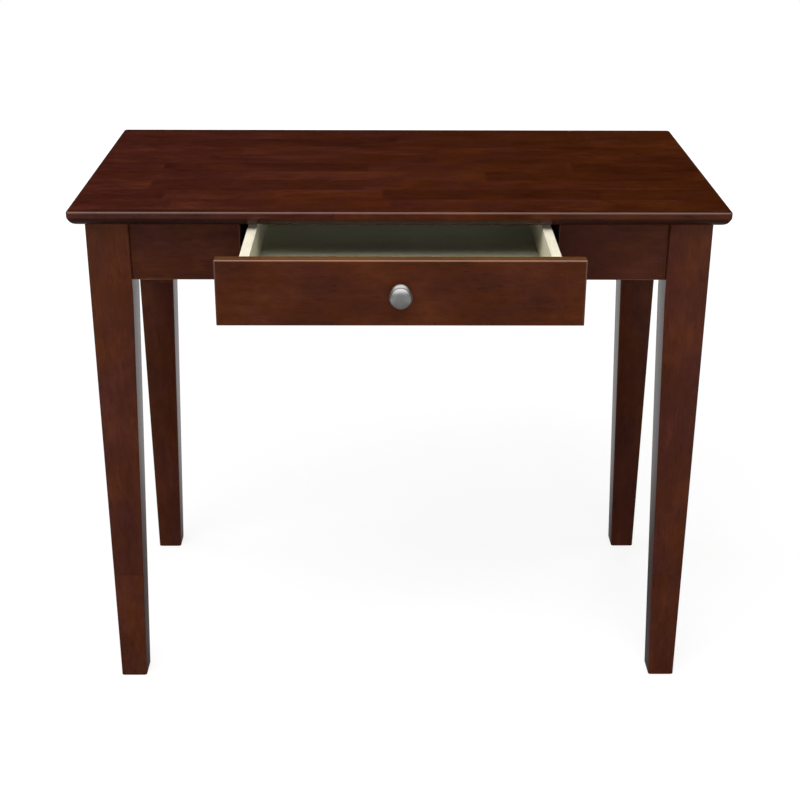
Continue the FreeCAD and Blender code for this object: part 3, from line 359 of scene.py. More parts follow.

# %% [markdown]
# Colours come from ramps: a ramp turns one value into a colour between a few stops. The stained
# boards run from near black brown to a warm red brown, and each kind of board has its own ramp,
# because stain takes differently on a wide panel, a thin apron and an upright leg. The apron ramp
# is also darker as painted shade, the shade that the top casts on the aprons. The inside of
# the drawer is pale and unstained, and the blocks under the top are bare.

# %% Colours of the woods
TOP_RAMP = (
    (0.2, (0.021, 0.0044, 0.0020)), (0.5, (0.050, 0.0114, 0.0046)), (0.8, (0.092, 0.0235, 0.0082)),
)
LEG_RAMP = (
    (0.12, (0.022, 0.0049, 0.0022)), (0.5, (0.053, 0.0128, 0.0050)), (0.88, (0.100, 0.0270, 0.0092)),
)
FRONT_RAMP = (
    (0.12, (0.021, 0.0045, 0.0016)), (0.5, (0.052, 0.0124, 0.0036)), (0.88, (0.096, 0.0260, 0.0070)),
)
# The apron ramp is darker than the front's, partly the boards' own stain and partly painted shade of
# the top's overhang.
APRON_RAMP_WITH_PAINTED_SHADE = (
    (0.12, (0.017, 0.0037, 0.0016)), (0.5, (0.042, 0.0099, 0.0036)), (0.88, (0.080, 0.0215, 0.0068)),
)
PALE_RAMP = ((0.2, (0.67, 0.60, 0.45)), (0.5, (0.77, 0.72, 0.575)), (0.8, (0.84, 0.80, 0.67)))
PANEL_RAMP = ((0.2, (0.45, 0.46, 0.31)), (0.5, (0.52, 0.53, 0.37)), (0.8, (0.58, 0.59, 0.43)))
BARE_RAMP = ((0.2, (0.44, 0.31, 0.17)), (0.5, (0.58, 0.43, 0.26)), (0.8, (0.68, 0.54, 0.35)))
TINT_RAMP = ((0.36, (0.98, 0.96, 1.45)), (0.64, (1.05, 1.0, 0.6)))
POLISH_RAMP = ((0.0, (0, 0, 0)), (0.22, (0.88, 0.88, 0.88)))
RUB = (0.19, 0.074, 0.021)


def ramp(tree, value, stops):
    made = add(tree, "ShaderNodeValToRGB", None, {"Fac": value})
    points = made.color_ramp.elements
    while len(points) < len(stops):
        points.new(0.5)
    for point, (place, colour) in zip(points, stops):
        point.position = place
        point.color = (*colour, 1)
    return made.outputs["Color"]


def mingle(tree, factor, first, second, blend="MIX"):
    """Mixes two colours."""
    settings = {"data_type": "RGBA", "blend_type": blend}
    return add(tree, "ShaderNodeMix", settings, {"Factor": factor, 6: first, 7: second}).outputs[2]


# %% [markdown]
# A wood finish joins the two groups. The figure is summed into one value, each stave slides it by
# its own tone, and the ramp makes it stain. On stained boards a second ramp tints the stain
# between red and golden. Each stained piece also carries a mark on its surface. Above zero the
# stain is rubbed thin and polished, as hands do to an edge. Below zero the colour is darkened as
# painted shade, the shade that falls under an edge.

# %% Steps of a wood finish
TURN_TO = {"x": (0, 0, 0), "y": (0, 0, -math.pi / 2), "z": (0, math.pi / 2, 0)}
RING_WIDTH, RING_WARP, STAVE_JUMP = 0.007, 0.05, 3.0
FIGURE_SHARES = {"Cloud": 0.72, "Flecks": 0.4, "Rings": 0.04, "Streaks": 0.1}
FIGURE_START = -0.14
WEAR_BY_CLOUD, LEAST_WEAR = 1.2, 0.3
POLISH_ROUGHNESS, POLISH_INDEX = 0.12, 1.8


def new_finish(name):
    """A new material: its graph, its shader's inputs and the piece's own coordinates."""
    made = bpy.data.materials.new(name)
    made.use_nodes = True
    tree = made.node_tree
    where = add(tree, "ShaderNodeTexCoord").outputs["Object"]
    return made, tree, tree.nodes["Principled BSDF"].inputs, where


def staves_and_figure(tree, where, grain, stave, spread):
    turn = {"Vector": where, "Rotation": TURN_TO[grain]}
    width, length = stave
    inputs = {
        "Vector": add(tree, "ShaderNodeMapping", None, turn).outputs[0],
        "Stave Width": width, "Stave Length": length, "Jump": STAVE_JUMP if spread else 0.0,
    }
    staves = add(tree, "ShaderNodeGroup", {"node_tree": stave_group}, inputs).outputs
    inputs = {"Vector": staves["Vector"], "Ring Width": RING_WIDTH, "Warp": RING_WARP}
    return staves, add(tree, "ShaderNodeGroup", {"node_tree": figure_group}, inputs).outputs


def stain(tree, staves, figure, spread, stops):
    value = FIGURE_START
    for label, share in FIGURE_SHARES.items():
        value = reckon(tree, "MULTIPLY_ADD", figure[label], share, value)
    shift = reckon(tree, "MULTIPLY_ADD", staves["Tone"], spread, -0.5 * spread)
    return ramp(tree, reckon(tree, "ADD", value, shift), stops)


def rub_and_shade_stain(tree, shader, where, figure, colour, rub, drift):
    """Tints and rubs a stain, polishes it where it is rubbed, and gives the painted shade where the
    mark is below zero.
    """
    across = add(tree, "ShaderNodeSeparateXYZ", None, {0: where}).outputs["X"]
    warmth = reckon(tree, "MULTIPLY_ADD", across, drift, figure["Warmth"])
    colour = mingle(tree, 1.0, colour, ramp(tree, warmth, TINT_RAMP), "MULTIPLY")
    rub_and_painted_shade = add(tree, "ShaderNodeAttribute", {"attribute_name": "rub_and_painted_shade"}).outputs["Fac"]
    broken = reckon(tree, "MULTIPLY_ADD", figure["Cloud"], WEAR_BY_CLOUD, LEAST_WEAR)
    amount = add(tree, "ShaderNodeClamp", None, {"Value": reckon(tree, "MULTIPLY", rub_and_painted_shade, broken)})
    tree.links.new(ramp(tree, rub_and_painted_shade, POLISH_RAMP), shader["Coat Weight"])
    shader["Coat Roughness"].default_value = POLISH_ROUGHNESS
    shader["Coat IOR"].default_value = POLISH_INDEX
    # Marks below zero are painted shade: they darken the colour as the shade under an edge would.
    painted_shade = reckon(tree, "MINIMUM", rub_and_painted_shade, 0.0)
    return mingle(tree, amount.outputs[0], colour, (*rub, 1)), painted_shade


def press(tree, shader, height, strength, depth):
    """Presses a relief into a finish."""
    inputs = {"Strength": strength, "Distance": depth, "Height": height}
    tree.links.new(add(tree, "ShaderNodeBump", None, inputs).outputs[0], shader["Normal"])


# %% [markdown]
# Now each wood is one call with its own values. Stave is the width and length of a stave in
# metres, spread is how far the staves' tones differ, and depth is how dark pores and seams are.
# Sheen is the roughness of the lacquer, which the streaks vary, and relief is how deep the grain
# is pressed. The lacquer is thin, so its index of refraction is low. The top's stain drifts from
# red at its left to golden at its right.

# %% Wood finishes
SEAM_SHARE = 0.6
SHEEN_SWING, HOLLOW_ROUGHNESS = 0.16, 0.02
STREAK_RELIEF, WOOD_RELIEF = 0.25, 0.0004


def wood(name, grain, stops, stave, spread, depth, sheen, relief, index, rub=None, drift=0.0):
    made, tree, shader, where = new_finish(name)
    staves, figure = staves_and_figure(tree, where, grain, stave, spread)
    colour = stain(tree, staves, figure, spread, stops)
    seam = reckon(tree, "MULTIPLY", staves["Seam"], SEAM_SHARE if spread else 0.0)
    hollow = reckon(tree, "MAXIMUM", figure["Pores"], seam)
    shade = reckon(tree, "MULTIPLY_ADD", hollow, -depth, 1.0)
    if rub:
        colour, painted_shade = rub_and_shade_stain(tree, shader, where, figure, colour, rub, drift)
        # The painted shade from marks below zero darkens the colour along with the pores and seams.
        shade = reckon(tree, "ADD", shade, painted_shade)
    grey = add(tree, "ShaderNodeCombineColor", None, {0: shade, 1: shade, 2: shade}).outputs[0]
    tree.links.new(mingle(tree, 1.0, colour, grey, "MULTIPLY"), shader["Base Color"])
    rough = reckon(tree, "MULTIPLY_ADD", figure["Streaks"], SHEEN_SWING, sheen - SHEEN_SWING / 2)
    rough = reckon(tree, "MULTIPLY_ADD", hollow, HOLLOW_ROUGHNESS, rough)
    tree.links.new(rough, shader["Roughness"])
    sunk = reckon(tree, "MULTIPLY", hollow, -1.0)
    height = reckon(tree, "MULTIPLY_ADD", figure["Streaks"], STREAK_RELIEF, sunk)
    press(tree, shader, height, relief, WOOD_RELIEF)
    shader["IOR"].default_value = index
    return made


board = {
    "stave": (0.047, 0.62), "spread": 0.1, "depth": 0.3, "sheen": 0.22, "relief": 0.04,
    "index": 1.26, "rub": RUB,
}
leg = {**board, "stave": (0.021, 1.9), "index": 1.28}
top = {
    **board, "stave": (0.052, 0.31), "spread": 0.18, "depth": 0.35, "sheen": 0.2, "relief": 0.08,
    "index": 1.27, "drift": 0.4,
}
raw = {
    "stave": (0.05, 0.5), "spread": 0.2, "depth": 0.2, "sheen": 0.5, "relief": 0.2, "index": 1.35,
}
sheet_panel = {**raw, "stave": (0.12, 0.9), "spread": 0.0, "depth": 0.15, "relief": 0.15}
sawn = {**raw, "depth": 0.3, "sheen": 0.6, "relief": 0.3}
stained = {
    "top": wood("stained_top", "x", TOP_RAMP, **top),
    "front": wood("stained_front", "x", FRONT_RAMP, **board),
    # The aprons, rail and runners take the apron ramp with its painted shade.
    "x": wood("stained_along_x_with_painted_shade", "x", APRON_RAMP_WITH_PAINTED_SHADE, **board),
    "y": wood("stained_along_y_with_painted_shade", "y", APRON_RAMP_WITH_PAINTED_SHADE, **board),
    "z": wood("stained_along_z", "z", LEG_RAMP, **leg),
}
pale = {
    "x": wood("pale_along_x", "x", PALE_RAMP, **raw),
    "y": wood("pale_along_y", "y", PALE_RAMP, **raw),
}
panel = wood("drawer_panel", "x", PANEL_RAMP, **sheet_panel)
bare = wood("bare_block", "z", BARE_RAMP, **sawn)
print("woods:", [made.name for made in (*stained.values(), *pale.values(), panel, bare)])

# %% [markdown]
# Metal and plastic have no grain, but they are never quite even. One shared group gives a slow
# mottle and a fine speckle, and each finish uses them in its own way: turned nickel on the knob,
# zinc on the screws, dark enamel on the slides and nylon on the rollers. The marks on the nickel
# are drawn out round the knob's axis, as a lathe leaves them.

# %% Metal and plastic
FITTING_RELIEF = 0.0002
mottle_group, given, result = shader_group(
    "mottle",
    [("Vector", ARROW), ("Broad", NUMBER), ("Fine", NUMBER)],
    [("Mottle", NUMBER), ("Speckle", NUMBER)],
)
for label, size, detail in (("Mottle", "Broad", 3.0), ("Speckle", "Fine", 1.0)):
    inputs = {"Vector": given["Vector"], "Scale": given[size], "Detail": detail}
    noise = add(mottle_group, "ShaderNodeTexNoise", None, inputs)
    mottle_group.links.new(noise.outputs["Fac"], result[label])


def fitting(name, stops, sheen, spread, relief, metal, broad=60.0, fine=2500.0, squeeze=(1, 1, 1)):
    """A metal or plastic finish; squeeze packs its marks closer along an axis."""
    made, tree, shader, where = new_finish(name)
    squeezed = add(tree, "ShaderNodeMapping", None, {"Vector": where, "Scale": squeeze}).outputs[0]
    inputs = {"Vector": squeezed, "Broad": broad, "Fine": fine}
    marks = add(tree, "ShaderNodeGroup", {"node_tree": mottle_group}, inputs).outputs
    tree.links.new(ramp(tree, marks["Mottle"], stops), shader["Base Color"])
    rough = reckon(tree, "MULTIPLY_ADD", marks["Speckle"], spread, sheen - spread / 2)
    tree.links.new(rough, shader["Roughness"])
    press(tree, shader, marks["Speckle"], relief, FITTING_RELIEF)
    shader["Metallic"].default_value = metal
    return made


NICKEL_RAMP = ((0.3, (0.42, 0.42, 0.415)), (0.5, (0.47, 0.47, 0.465)), (0.7, (0.51, 0.51, 0.505)))
ZINC_RAMP = ((0.3, (0.50, 0.51, 0.52)), (0.5, (0.60, 0.61, 0.61)), (0.7, (0.68, 0.67, 0.64)))
ENAMEL_RAMP = (
    (0.3, (0.016, 0.011, 0.009)), (0.5, (0.021, 0.015, 0.012)), (0.7, (0.027, 0.019, 0.015)),
)
NYLON_RAMP = ((0.3, (0.66, 0.65, 0.60)), (0.5, (0.72, 0.71, 0.66)), (0.7, (0.77, 0.76, 0.71)))
lathe_marks = {"broad": 40.0, "fine": 3000.0, "squeeze": (1, 30, 1)}
nickel = fitting("satin_nickel", NICKEL_RAMP, 0.33, spread=0.1, relief=0.06, metal=1.0, **lathe_marks)
zinc = fitting("zinc_plate", ZINC_RAMP, 0.36, spread=0.14, relief=0.1, metal=1.0)
enamel = fitting("slide_enamel", ENAMEL_RAMP, 0.42, spread=0.12, relief=0.25, metal=0.0)
nylon = fitting("roller_nylon", NYLON_RAMP, 0.45, spread=0.1, relief=0.1, metal=0.0)
print("fittings:", [made.name for made in (nickel, zinc, enamel, nylon)])

# %% [markdown]
# Every board and fitting first takes on a finish in its engineering shape, chosen by its material
# and by the way that its grain runs, along its length. The drawer's boards, the slides, the
# rollers and the hidden parts stay as they are. The pieces that are looked at closely are made
# again below.

# %% Finishes on the boards that stay
finish_by_slot = {
    "drawer_wood": pale["y"],
    "bare_wood": bare,
    "satin_nickel": nickel,
    "slide_steel": enamel,
    "zinc_steel": zinc,
    "roller_plastic": nylon,
    "stained_wood": stained["x"],
}
grain_of = {"drawer_back": pale["x"], "drawer_bottom": panel}
for part in frame["record"]["subparts"]:
    node = part["node"]
    mesh = nodes[node].data
    mesh.materials.clear()
    mesh.materials.append(grain_of.get(node, finish_by_slot[part["material_slot"]]))

# %% [markdown]
# Light catches a desk at its edges, and an edge that is eased by hand is a small round, not a
# facet. So each visible stained board is made again as a stack of rings: every ring is the
# board's outline, drawn in a little where the edge turns. Guard rings close to an edge keep the
# flat faces flat to the eye. Each ring also carries a mark that the finish reads: above zero how
# far its stain is rubbed, below zero how much painted shade darkens it.

# %% Rings
CORNER_STEPS = 6
LEAST_ROUND = 0.00015
CREASE = math.radians(35)


def turns(steps, angle=math.pi / 2):
    """Even steps round an arc, both ends included."""
    return [angle * step / steps for step in range(steps + 1)]


def outline(low, high, inset, radius):
    """A rounded rectangle as a ring of points, drawn in by an inset."""
    small = max(radius - inset, LEAST_ROUND)
    left, right = low[0] + inset + small, high[0] - inset - small
    near, far = low[1] + inset + small, high[1] - inset - small
    ring = []
    for quarter, (u, v) in enumerate(((right, far), (left, far), (left, near), (right, near))):
        for turn in turns(CORNER_STEPS):
            angle = quarter * math.pi / 2 + turn
            ring.append((u + small * math.cos(angle), v + small * math.sin(angle)))
    return ring


def settle(shape, mesh):
    """Turns faces outwards, smooths them up to the crease angle, and fills the mesh."""
    bmesh.ops.recalc_face_normals(shape, faces=shape.faces)
    for face in shape.faces:
        face.smooth = True
    for edge in shape.edges:
        edge.smooth = edge.calc_face_angle(0) < CREASE
    shape.to_mesh(mesh)
    shape.free()


def stacked(name, rings, rub_and_painted_shade):
    """A closed piece over rings of points; the last list gives each ring's wear, and below zero its
    painted shade.
    """
    shape = bmesh.new()
    # The marks carry wear above zero and painted shade below zero.
    wear_and_shade_mark = shape.verts.layers.float.new("rub_and_painted_shade")
    loops = []
    for ring, amount in zip(rings, rub_and_painted_shade):
        loops.append([shape.verts.new(point) for point in ring])
        for corner in loops[-1]:
            corner[wear_and_shade_mark] = amount
    for lower, upper in zip(loops, loops[1:]):
        for index in range(len(lower)):
            shape.faces.new((lower[index - 1], lower[index], upper[index], upper[index - 1]))
    shape.faces.new(loops[0])
    shape.faces.new(loops[-1])
    mesh = bpy.data.meshes.new(name)
    settle(shape, mesh)
    piece = bpy.data.objects.new(name, mesh)
    scene.collection.objects.link(piece)
    return piece


# %% [markdown]
# A board is rings in the box of its engineering part, so its place and size are never typed
# again. A profile lists the rings: how far each is drawn in, how high it lies, and its wear, which
# below zero is painted shade. The last helper hands a finished piece over, with the body that
# carries it and what it stands for.

# %% Boards
GUARD = 0.0006
EASE_STEPS = 4
ACROSS = {"x": (1, 2, 0), "y": (0, 2, 1), "z": (0, 1, 2)}


def slab(name, node, axis, profile, corner):
    """A board in a node's box: profile lists inset, height along the axis, and wear, which below zero
    is painted shade.
    """
    low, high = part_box(node)
    first, second, third = ACROSS[axis]
    rings = []
    for inset, rise, _ in profile:
        ring = []
        for u, v in outline((low[first], low[second]), (high[first], high[second]), inset, corner):
            point = [0.0, 0.0, 0.0]
            point[first], point[second], point[third] = u, v, low[third] + rise
            ring.append(point)
        rings.append(ring)
    return stacked(name, rings, [wear_and_shade_mark for _, _, wear_and_shade_mark in profile])


def eased_edges(thickness, ease, wear_and_shade_mark):
    """The profile of a plain board with both faces' edges rounded."""
    lower = [(ease + 2 * GUARD, 0.0, 0.0), (ease + GUARD, 0.0, 0.0)]
    for a in turns(EASE_STEPS):
        lower.append((ease - ease * math.sin(a), ease - ease * math.cos(a), wear_and_shade_mark))
    lower.append((0.0, ease + GUARD, 0.0))
    return lower + [(inset, thickness - rise, amount) for inset, rise, amount in reversed(lower)]


def stands_for(piece, finish, body, slot, *replaced):
    """Gives a piece its finish, the body that carries it and the nodes that it stands for."""
    piece.data.materials.clear()
    piece.data.materials.append(finish)
    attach(piece, body)
    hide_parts(*replaced)


# %% [markdown]
# The top is one glued panel. Its edge is rounded under: a curve runs from the underside up to a
# narrow upright band, which makes a thick panel look light. The upper edge is only eased. The
# curve's radius follows from how far it reaches in and how high it rises. The curve's stain is
# darkened as painted shade, the shade that the lip casts under itself, and hands polish the edge
# above it, both most of all along the front.

# %% Desk top
UNDER_REACH, UNDER_RISE, EDGE_ROUND, CORNER_ROUND = 0.020, 0.013, 0.0023, 0.006
UNDER_STEPS, ROUND_STEPS = 12, 6
# The two negative marks are painted shade on the curve under the top's edge.
PAINTED_SHADE, PAINTED_SHADE_LAST, TOP_WEAR, AWAY_SHARE = -0.42, -0.2, 0.16, 0.25
low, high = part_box("desk_top")
thick = high.z - low.z
under_radius = (UNDER_REACH ** 2 + UNDER_RISE ** 2) / (2 * UNDER_RISE)
edge = [(UNDER_REACH + 2 * GUARD, 0.0, 0.0), (UNDER_REACH + GUARD, 0.0, 0.0)]
for step, a in enumerate(turns(UNDER_STEPS, math.asin(UNDER_REACH / under_radius))):
    # The under-curve's rings are darkened as painted shade, less on its last ring.
    painted_shade = PAINTED_SHADE if step < UNDER_STEPS else PAINTED_SHADE_LAST
    edge.append((UNDER_REACH - under_radius * math.sin(a), under_radius * (1 - math.cos(a)), painted_shade))
edge.append((0.0, UNDER_RISE + GUARD, 0.0))
edge.append((0.0, thick - EDGE_ROUND - GUARD, 0.0))
for a in turns(ROUND_STEPS):
    edge.append((EDGE_ROUND * (1 - math.cos(a)), thick - EDGE_ROUND * (1 - math.sin(a)), TOP_WEAR))
edge.append((EDGE_ROUND + GUARD, thick, 0.0))
edge.append((EDGE_ROUND + 2 * GUARD, thick, 0.0))
top_board = slab("top_board", "desk_top", "z", edge, CORNER_ROUND)
for corner, mark in zip(top_board.data.vertices, top_board.data.attributes["rub_and_painted_shade"].data):
    if corner.co.y > low.y + CORNER_ROUND:
        mark.value *= AWAY_SHARE
stands_for(top_board, stained["top"], "desk", "stained_wood", "desk_top")
print("desk top", round(thick * 1000, 1), "mm thick,", len(top_board.data.polygons), "faces")

# %% [markdown]
# A leg is square above and tapers on its two inner faces only, so its outer corner stays upright.
# That is a rule: each ring is a square that grows from the same outer corner. Near the head the
# inner corner is cut flat, where the bolt of the corner block pulls the leg in.

# %% Legs
LEG_WIDTH, FOOT_WIDTH, TAPER_TOP, TAPER_GUARD = 0.060, 0.039, 0.630, 0.004
LEG_EASE, FOOT_BEVEL, BOLT_FLAT, FLAT_BOTTOM = 0.0025, 0.0015, 0.010, 0.690


def leg_ring(height, inset, flat):
    share = min(height / TAPER_TOP, 1.0)
    side = FOOT_WIDTH + (LEG_WIDTH - FOOT_WIDTH) * share
    ring = outline((0, 0), (side, side), inset, LEG_EASE + inset)
    if flat:
        for step in range(CORNER_STEPS + 1):
            cut = BOLT_FLAT * step / CORNER_STEPS
            ring[step] = (side - cut, side - BOLT_FLAT + cut)
    return ring


def tapered_leg(name, node, across, along):
    """A leg whose inner faces lie towards the signs across (X) and along (Y)."""
    low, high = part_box(node)
    start = (low.x if across > 0 else high.x, low.y if along > 0 else high.y)
    plain = (FOOT_BEVEL, FOOT_BEVEL + GUARD, TAPER_TOP - TAPER_GUARD, TAPER_TOP)
    plain += (TAPER_TOP + TAPER_GUARD, FLAT_BOTTOM)
    steps = [(0.0, FOOT_BEVEL, False)]
    steps += [(height, 0.0, False) for height in plain]
    steps += [(FLAT_BOTTOM, 0.0, True), (high.z, 0.0, True)]
    rings = []
    for height, inset, flat in steps:
        ring = leg_ring(height, inset, flat)
        rings.append([(start[0] + across * u, start[1] + along * v, height) for u, v in ring])
    piece = stacked(name, rings, [0.0] * len(rings))
    stands_for(piece, stained["z"], "desk", "stained_wood", node)
    print(name, len(piece.data.polygons), "faces")


for end, along in (("front", 1), ("rear", -1)):
    for side, across in (("left", 1), ("right", -1)):
        tapered_leg(f"{end}_{side}_tapered_leg", f"{end}_{side}_leg", across, along)

# %% [markdown]
# The aprons tie the legs together, the rail closes the frame under the drawer, and two runner
# boards carry the slides. They are plain boards with eased edges, so one profile serves them
# all. Grain runs along each board.

# %% Aprons, rail and runners
EASE, BOARD_WEAR, BOARD_CORNER = 0.001, 0.25, 0.0005
frame_boards = {
    # node: the way its thickness runs, the way its grain runs
    "front_left_apron": ("y", "x"), "front_right_apron": ("y", "x"), "rear_apron": ("y", "x"),
    "left_apron": ("x", "y"), "right_apron": ("x", "y"), "drawer_rail": ("z", "x"),
    "left_runner_board": ("x", "y"), "right_runner_board": ("x", "y"),
}
for node, (axis, grain) in frame_boards.items():
    low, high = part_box(node)
    thickness = (high - low)["xyz".index(axis)]
    profile = eased_edges(thickness, EASE, BOARD_WEAR)
    piece = slab(f"{node}_eased", node, axis, profile, BOARD_CORNER)
    stands_for(piece, stained[grain], "desk", "stained_wood", node)
print("frame boards:", len(frame_boards))

# %% [markdown]
# The drawer front overlaps the frame on all sides. Its face edges are rounded like the top's.
# On its upper edge the stain is thin, because hands rub it first, so a warm brown shows there.
# That edge is marked as rubbed, and the edges below it hardly at all.

# %% Drawer front
FRONT_ROUND, FRONT_CORNER = 0.0019, 0.001
FRONT_WEAR, UPPER_WEAR, LOWER_SHARE = 0.22, 0.74, 0.25
REAR_RINGS = EASE_STEPS + 3
low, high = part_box("drawer_front")
face = [(FRONT_ROUND + 2 * GUARD, 0.0, 0.0), (FRONT_ROUND + GUARD, 0.0, 0.0)]
for a in turns(ROUND_STEPS):
    face.append((FRONT_ROUND * (1 - math.sin(a)), FRONT_ROUND * (1 - math.cos(a)), FRONT_WEAR))
face.append((0.0, FRONT_ROUND + GUARD, 0.0))
face += eased_edges(high.y - low.y, EASE, 0.0)[-REAR_RINGS:]
front_board = slab("front_board", "drawer_front", "y", face, FRONT_CORNER)
for corner, mark in zip(front_board.data.vertices, front_board.data.attributes["rub_and_painted_shade"].data):
    if corner.co.z > high.z - FRONT_ROUND / 2:
        mark.value = UPPER_WEAR
    elif corner.co.z < high.z - FRONT_ROUND:
        mark.value *= LOWER_SHARE
stands_for(front_board, stained["front"], "drawer", "stained_wood", "drawer_front")
print("drawer front", len(front_board.data.polygons), "faces")

# %% [markdown]
# The knob was turned on a lathe: a thin base disc, a waist, and a domed face with a fine step
# inside its rim. Spinning a profile would do, but Geometry Nodes can say the lathe's own rule: a
# circle travels along the axis, and each station on the way has its girth. Three helpers come
# first, because the screws need them too. One opens a tree with named inputs, one closes it with
# a finish, and one runs a tree on a mesh and keeps the result as a plain piece.

# %% Helpers for geometry trees


def geometry_tree(name, inputs):
    """A new tree, its input sockets, and the identifier behind each input's name."""
    tree = bpy.data.node_groups.new(name, "GeometryNodeTree")
    names = {}
    for label, kind in inputs:
        names[label] = tree.interface.new_socket(label, in_out="INPUT", socket_type=kind).identifier
    tree.interface.new_socket("Made", in_out="OUTPUT", socket_type="NodeSocketGeometry")
    return tree, tree.nodes.new("NodeGroupInput").outputs, names


def close_tree(tree, geometry, finish):
    """Makes instances real, gives them the finish and ends the tree."""
    real = add(tree, "GeometryNodeRealizeInstances", None, {0: geometry}).outputs[0]
    coat = {"Geometry": real, "Material": finish}
    done = add(tree, "GeometryNodeSetMaterial", None, coat).outputs[0]
    tree.links.new(done, tree.nodes.new("NodeGroupOutput").inputs[0])
    print("tree", tree.name, "with", len(tree.nodes), "nodes")


def grown(name, start, tree, names, values):
    """A plain piece that a tree makes from a starting mesh."""
    holder = bpy.data.objects.new(f"{name}_start", start)
    scene.collection.objects.link(holder)
    modifier = holder.modifiers.new(tree.name, "NODES")
    modifier.node_group = tree
    for label, value in values.items():
        modifier[names[label]] = value
    bpy.context.view_layer.update()
    shown = holder.evaluated_get(bpy.context.evaluated_depsgraph_get())
    mesh = bpy.data.meshes.new_from_object(shown)
    bpy.data.objects.remove(holder)
    piece = bpy.data.objects.new(name, mesh)
    scene.collection.objects.link(piece)
    return piece


# %% [markdown]
# The lathe itself is a short tree. The axis comes in as a line of stations, each with its girth
# as an attribute. The line becomes a curve, and a circle of radius one is swept along it and
# scaled by the girth.

# %% Lathe
lathe, given, lathe_names = geometry_tree(
    "lathe",
    [("Axis", "NodeSocketGeometry"), ("Sides", "NodeSocketInt"), ("Finish", "NodeSocketMaterial")],
)
axis = add(lathe, "GeometryNodeMeshToCurve", None, {"Mesh": given["Axis"]}).outputs[0]
named = {"data_type": "FLOAT"}
girth = add(lathe, "GeometryNodeInputNamedAttribute", named, {"Name": "girth"}).outputs[0]
inputs = {"Resolution": given["Sides"], "Radius": 1.0}
circle = add(lathe, "GeometryNodeCurvePrimitiveCircle", None, inputs).outputs[0]
inputs = {"Curve": axis, "Profile Curve": circle, "Scale": girth, "Fill Caps": True}
close_tree(lathe, add(lathe, "GeometryNodeCurveToMesh", None, inputs).outputs[0], given["Finish"])

# %% [markdown]
# A turner thinks of a knob as a few plain forms, and so does this list: a foot that sweeps in to
# the waist, a hollow flare, a rounded rim, a fine step and a full dome. Each form runs on from
# the one before to its own girth and reach, in millimetres from the drawer front, and a rule says
# how the girth follows on the way. The reach always grows, so that the circle knows which way to
# face.

# %% Turned forms
DOME_FULLNESS = 2.25


def sweep_in(share):
    return (1 - math.cos(math.pi * share)) / 2


def hollow_out(share):
    return share ** 2


def round_off(share):
    return math.sin(math.pi / 2 * share)


def fall_away(share):
    return 1 - math.cos(math.pi / 2 * share)


def dome_over(share):
    return 1 - max(1 - share ** DOME_FULLNESS, 0.0) ** (1 / DOME_FULLNESS)


KNOB_BASE = [(0.3, 0.0), (13.2, 0.01), (13.4, 0.1)]
KNOB_FORMS = {
    # name: girth and reach at its end, rule, stations, how far they crowd to the end
    "foot": (8.0, 8.8, sweep_in, 9, 1.0),
    "waist": (8.0, 11.4, sweep_in, 1, 1.0),
    "flare": (13.5, 16.8, hollow_out, 5, 1.0),
    "rim": (15.25, 18.2, round_off, 4, 1.0),
    "step": (14.6, 19.3, fall_away, 4, 1.0),
    "dome": (0.3, 27.0, dome_over, 12, 2.0),
}
knob_profile = list(KNOB_BASE)
for girth, reach, rule, steps, crowd in KNOB_FORMS.values():
    first_girth, first_reach = knob_profile[-1]
    for step in range(1, steps + 1):
        share = 1 - (1 - step / steps) ** crowd
        grown_girth = first_girth + (girth - first_girth) * rule(share)
        knob_profile.append((grown_girth, first_reach + (reach - first_reach) * share))
print("knob stations", len(knob_profile))

# %% [markdown]
# The stations go on a line from the drawer front outwards, in the middle of the knob's own box,
# and the lathe does the rest.

# %% Knob
KNOB_SIDES = 72
MILLIMETRE = 0.001
low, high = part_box("drawer_knob")
middle = (low + high) / 2
stations = [(middle.x, high.y - reach * MILLIMETRE, middle.z) for _, reach in knob_profile]
line = bpy.data.meshes.new("knob_axis")
line.from_pydata(stations, [(i, i + 1) for i in range(len(stations) - 1)], [])
girths = line.attributes.new("girth", "FLOAT", "POINT")
for mark, (girth, _) in zip(girths.data, knob_profile):
    mark.value = girth * MILLIMETRE
values = {"Sides": KNOB_SIDES, "Finish": nickel}
turned_knob = grown("turned_knob", line, lathe, lathe_names, values)
shape = bmesh.new()
shape.from_mesh(turned_knob.data)
settle(shape, turned_knob.data)
stands_for(turned_knob, nickel, "drawer", "satin_nickel", "drawer_knob")
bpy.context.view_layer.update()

# %% [markdown]
# Screws repeat, so Geometry Nodes sets them, from two blanks. The head is a low dome with a cross
# recess, sunk where the arms lie. The shank is a plain pin with a point. Both have a radius and a
# height of one, so that each kind of screw can scale them to its own size.

# %% Screw blanks
HEAD_SIDES, SHANK_SIDES = 32, 12
HEAD_PROFILE = (
    (1.0, 0.0), (1.0, 0.25), (0.95, 0.6), (0.8, 0.86), (0.62, 0.96), (0.5, 1.0), (0.3, 1.0),
    (0.04, 1.0),
)
SHANK_PROFILE = ((1.0, 0.0), (1.0, -0.85), (0.2, -1.0))
RECESS_REACH, RECESS_DEPTH, RECESS_CORE = 0.55, 0.55, 0.1


def head_ring(radius, rise):
    """A ring of a screw head, sunk where the arms of the cross recess lie."""
    quarter = HEAD_SIDES // 4
    ring = []
    for side, a in enumerate(turns(HEAD_SIDES, 2 * math.pi)[:-1]):
        in_arm = radius < RECESS_REACH and side % quarter in (0, 1, quarter - 1)
        drop = RECESS_DEPTH if in_arm or radius < RECESS_CORE else 0.0
        ring.append((radius * math.cos(a), radius * math.sin(a), rise - drop))
    return ring


def shank_ring(radius, rise):
    around = turns(SHANK_SIDES, 2 * math.pi)[:-1]
    return [(radius * math.cos(a), radius * math.sin(a), rise) for a in around]


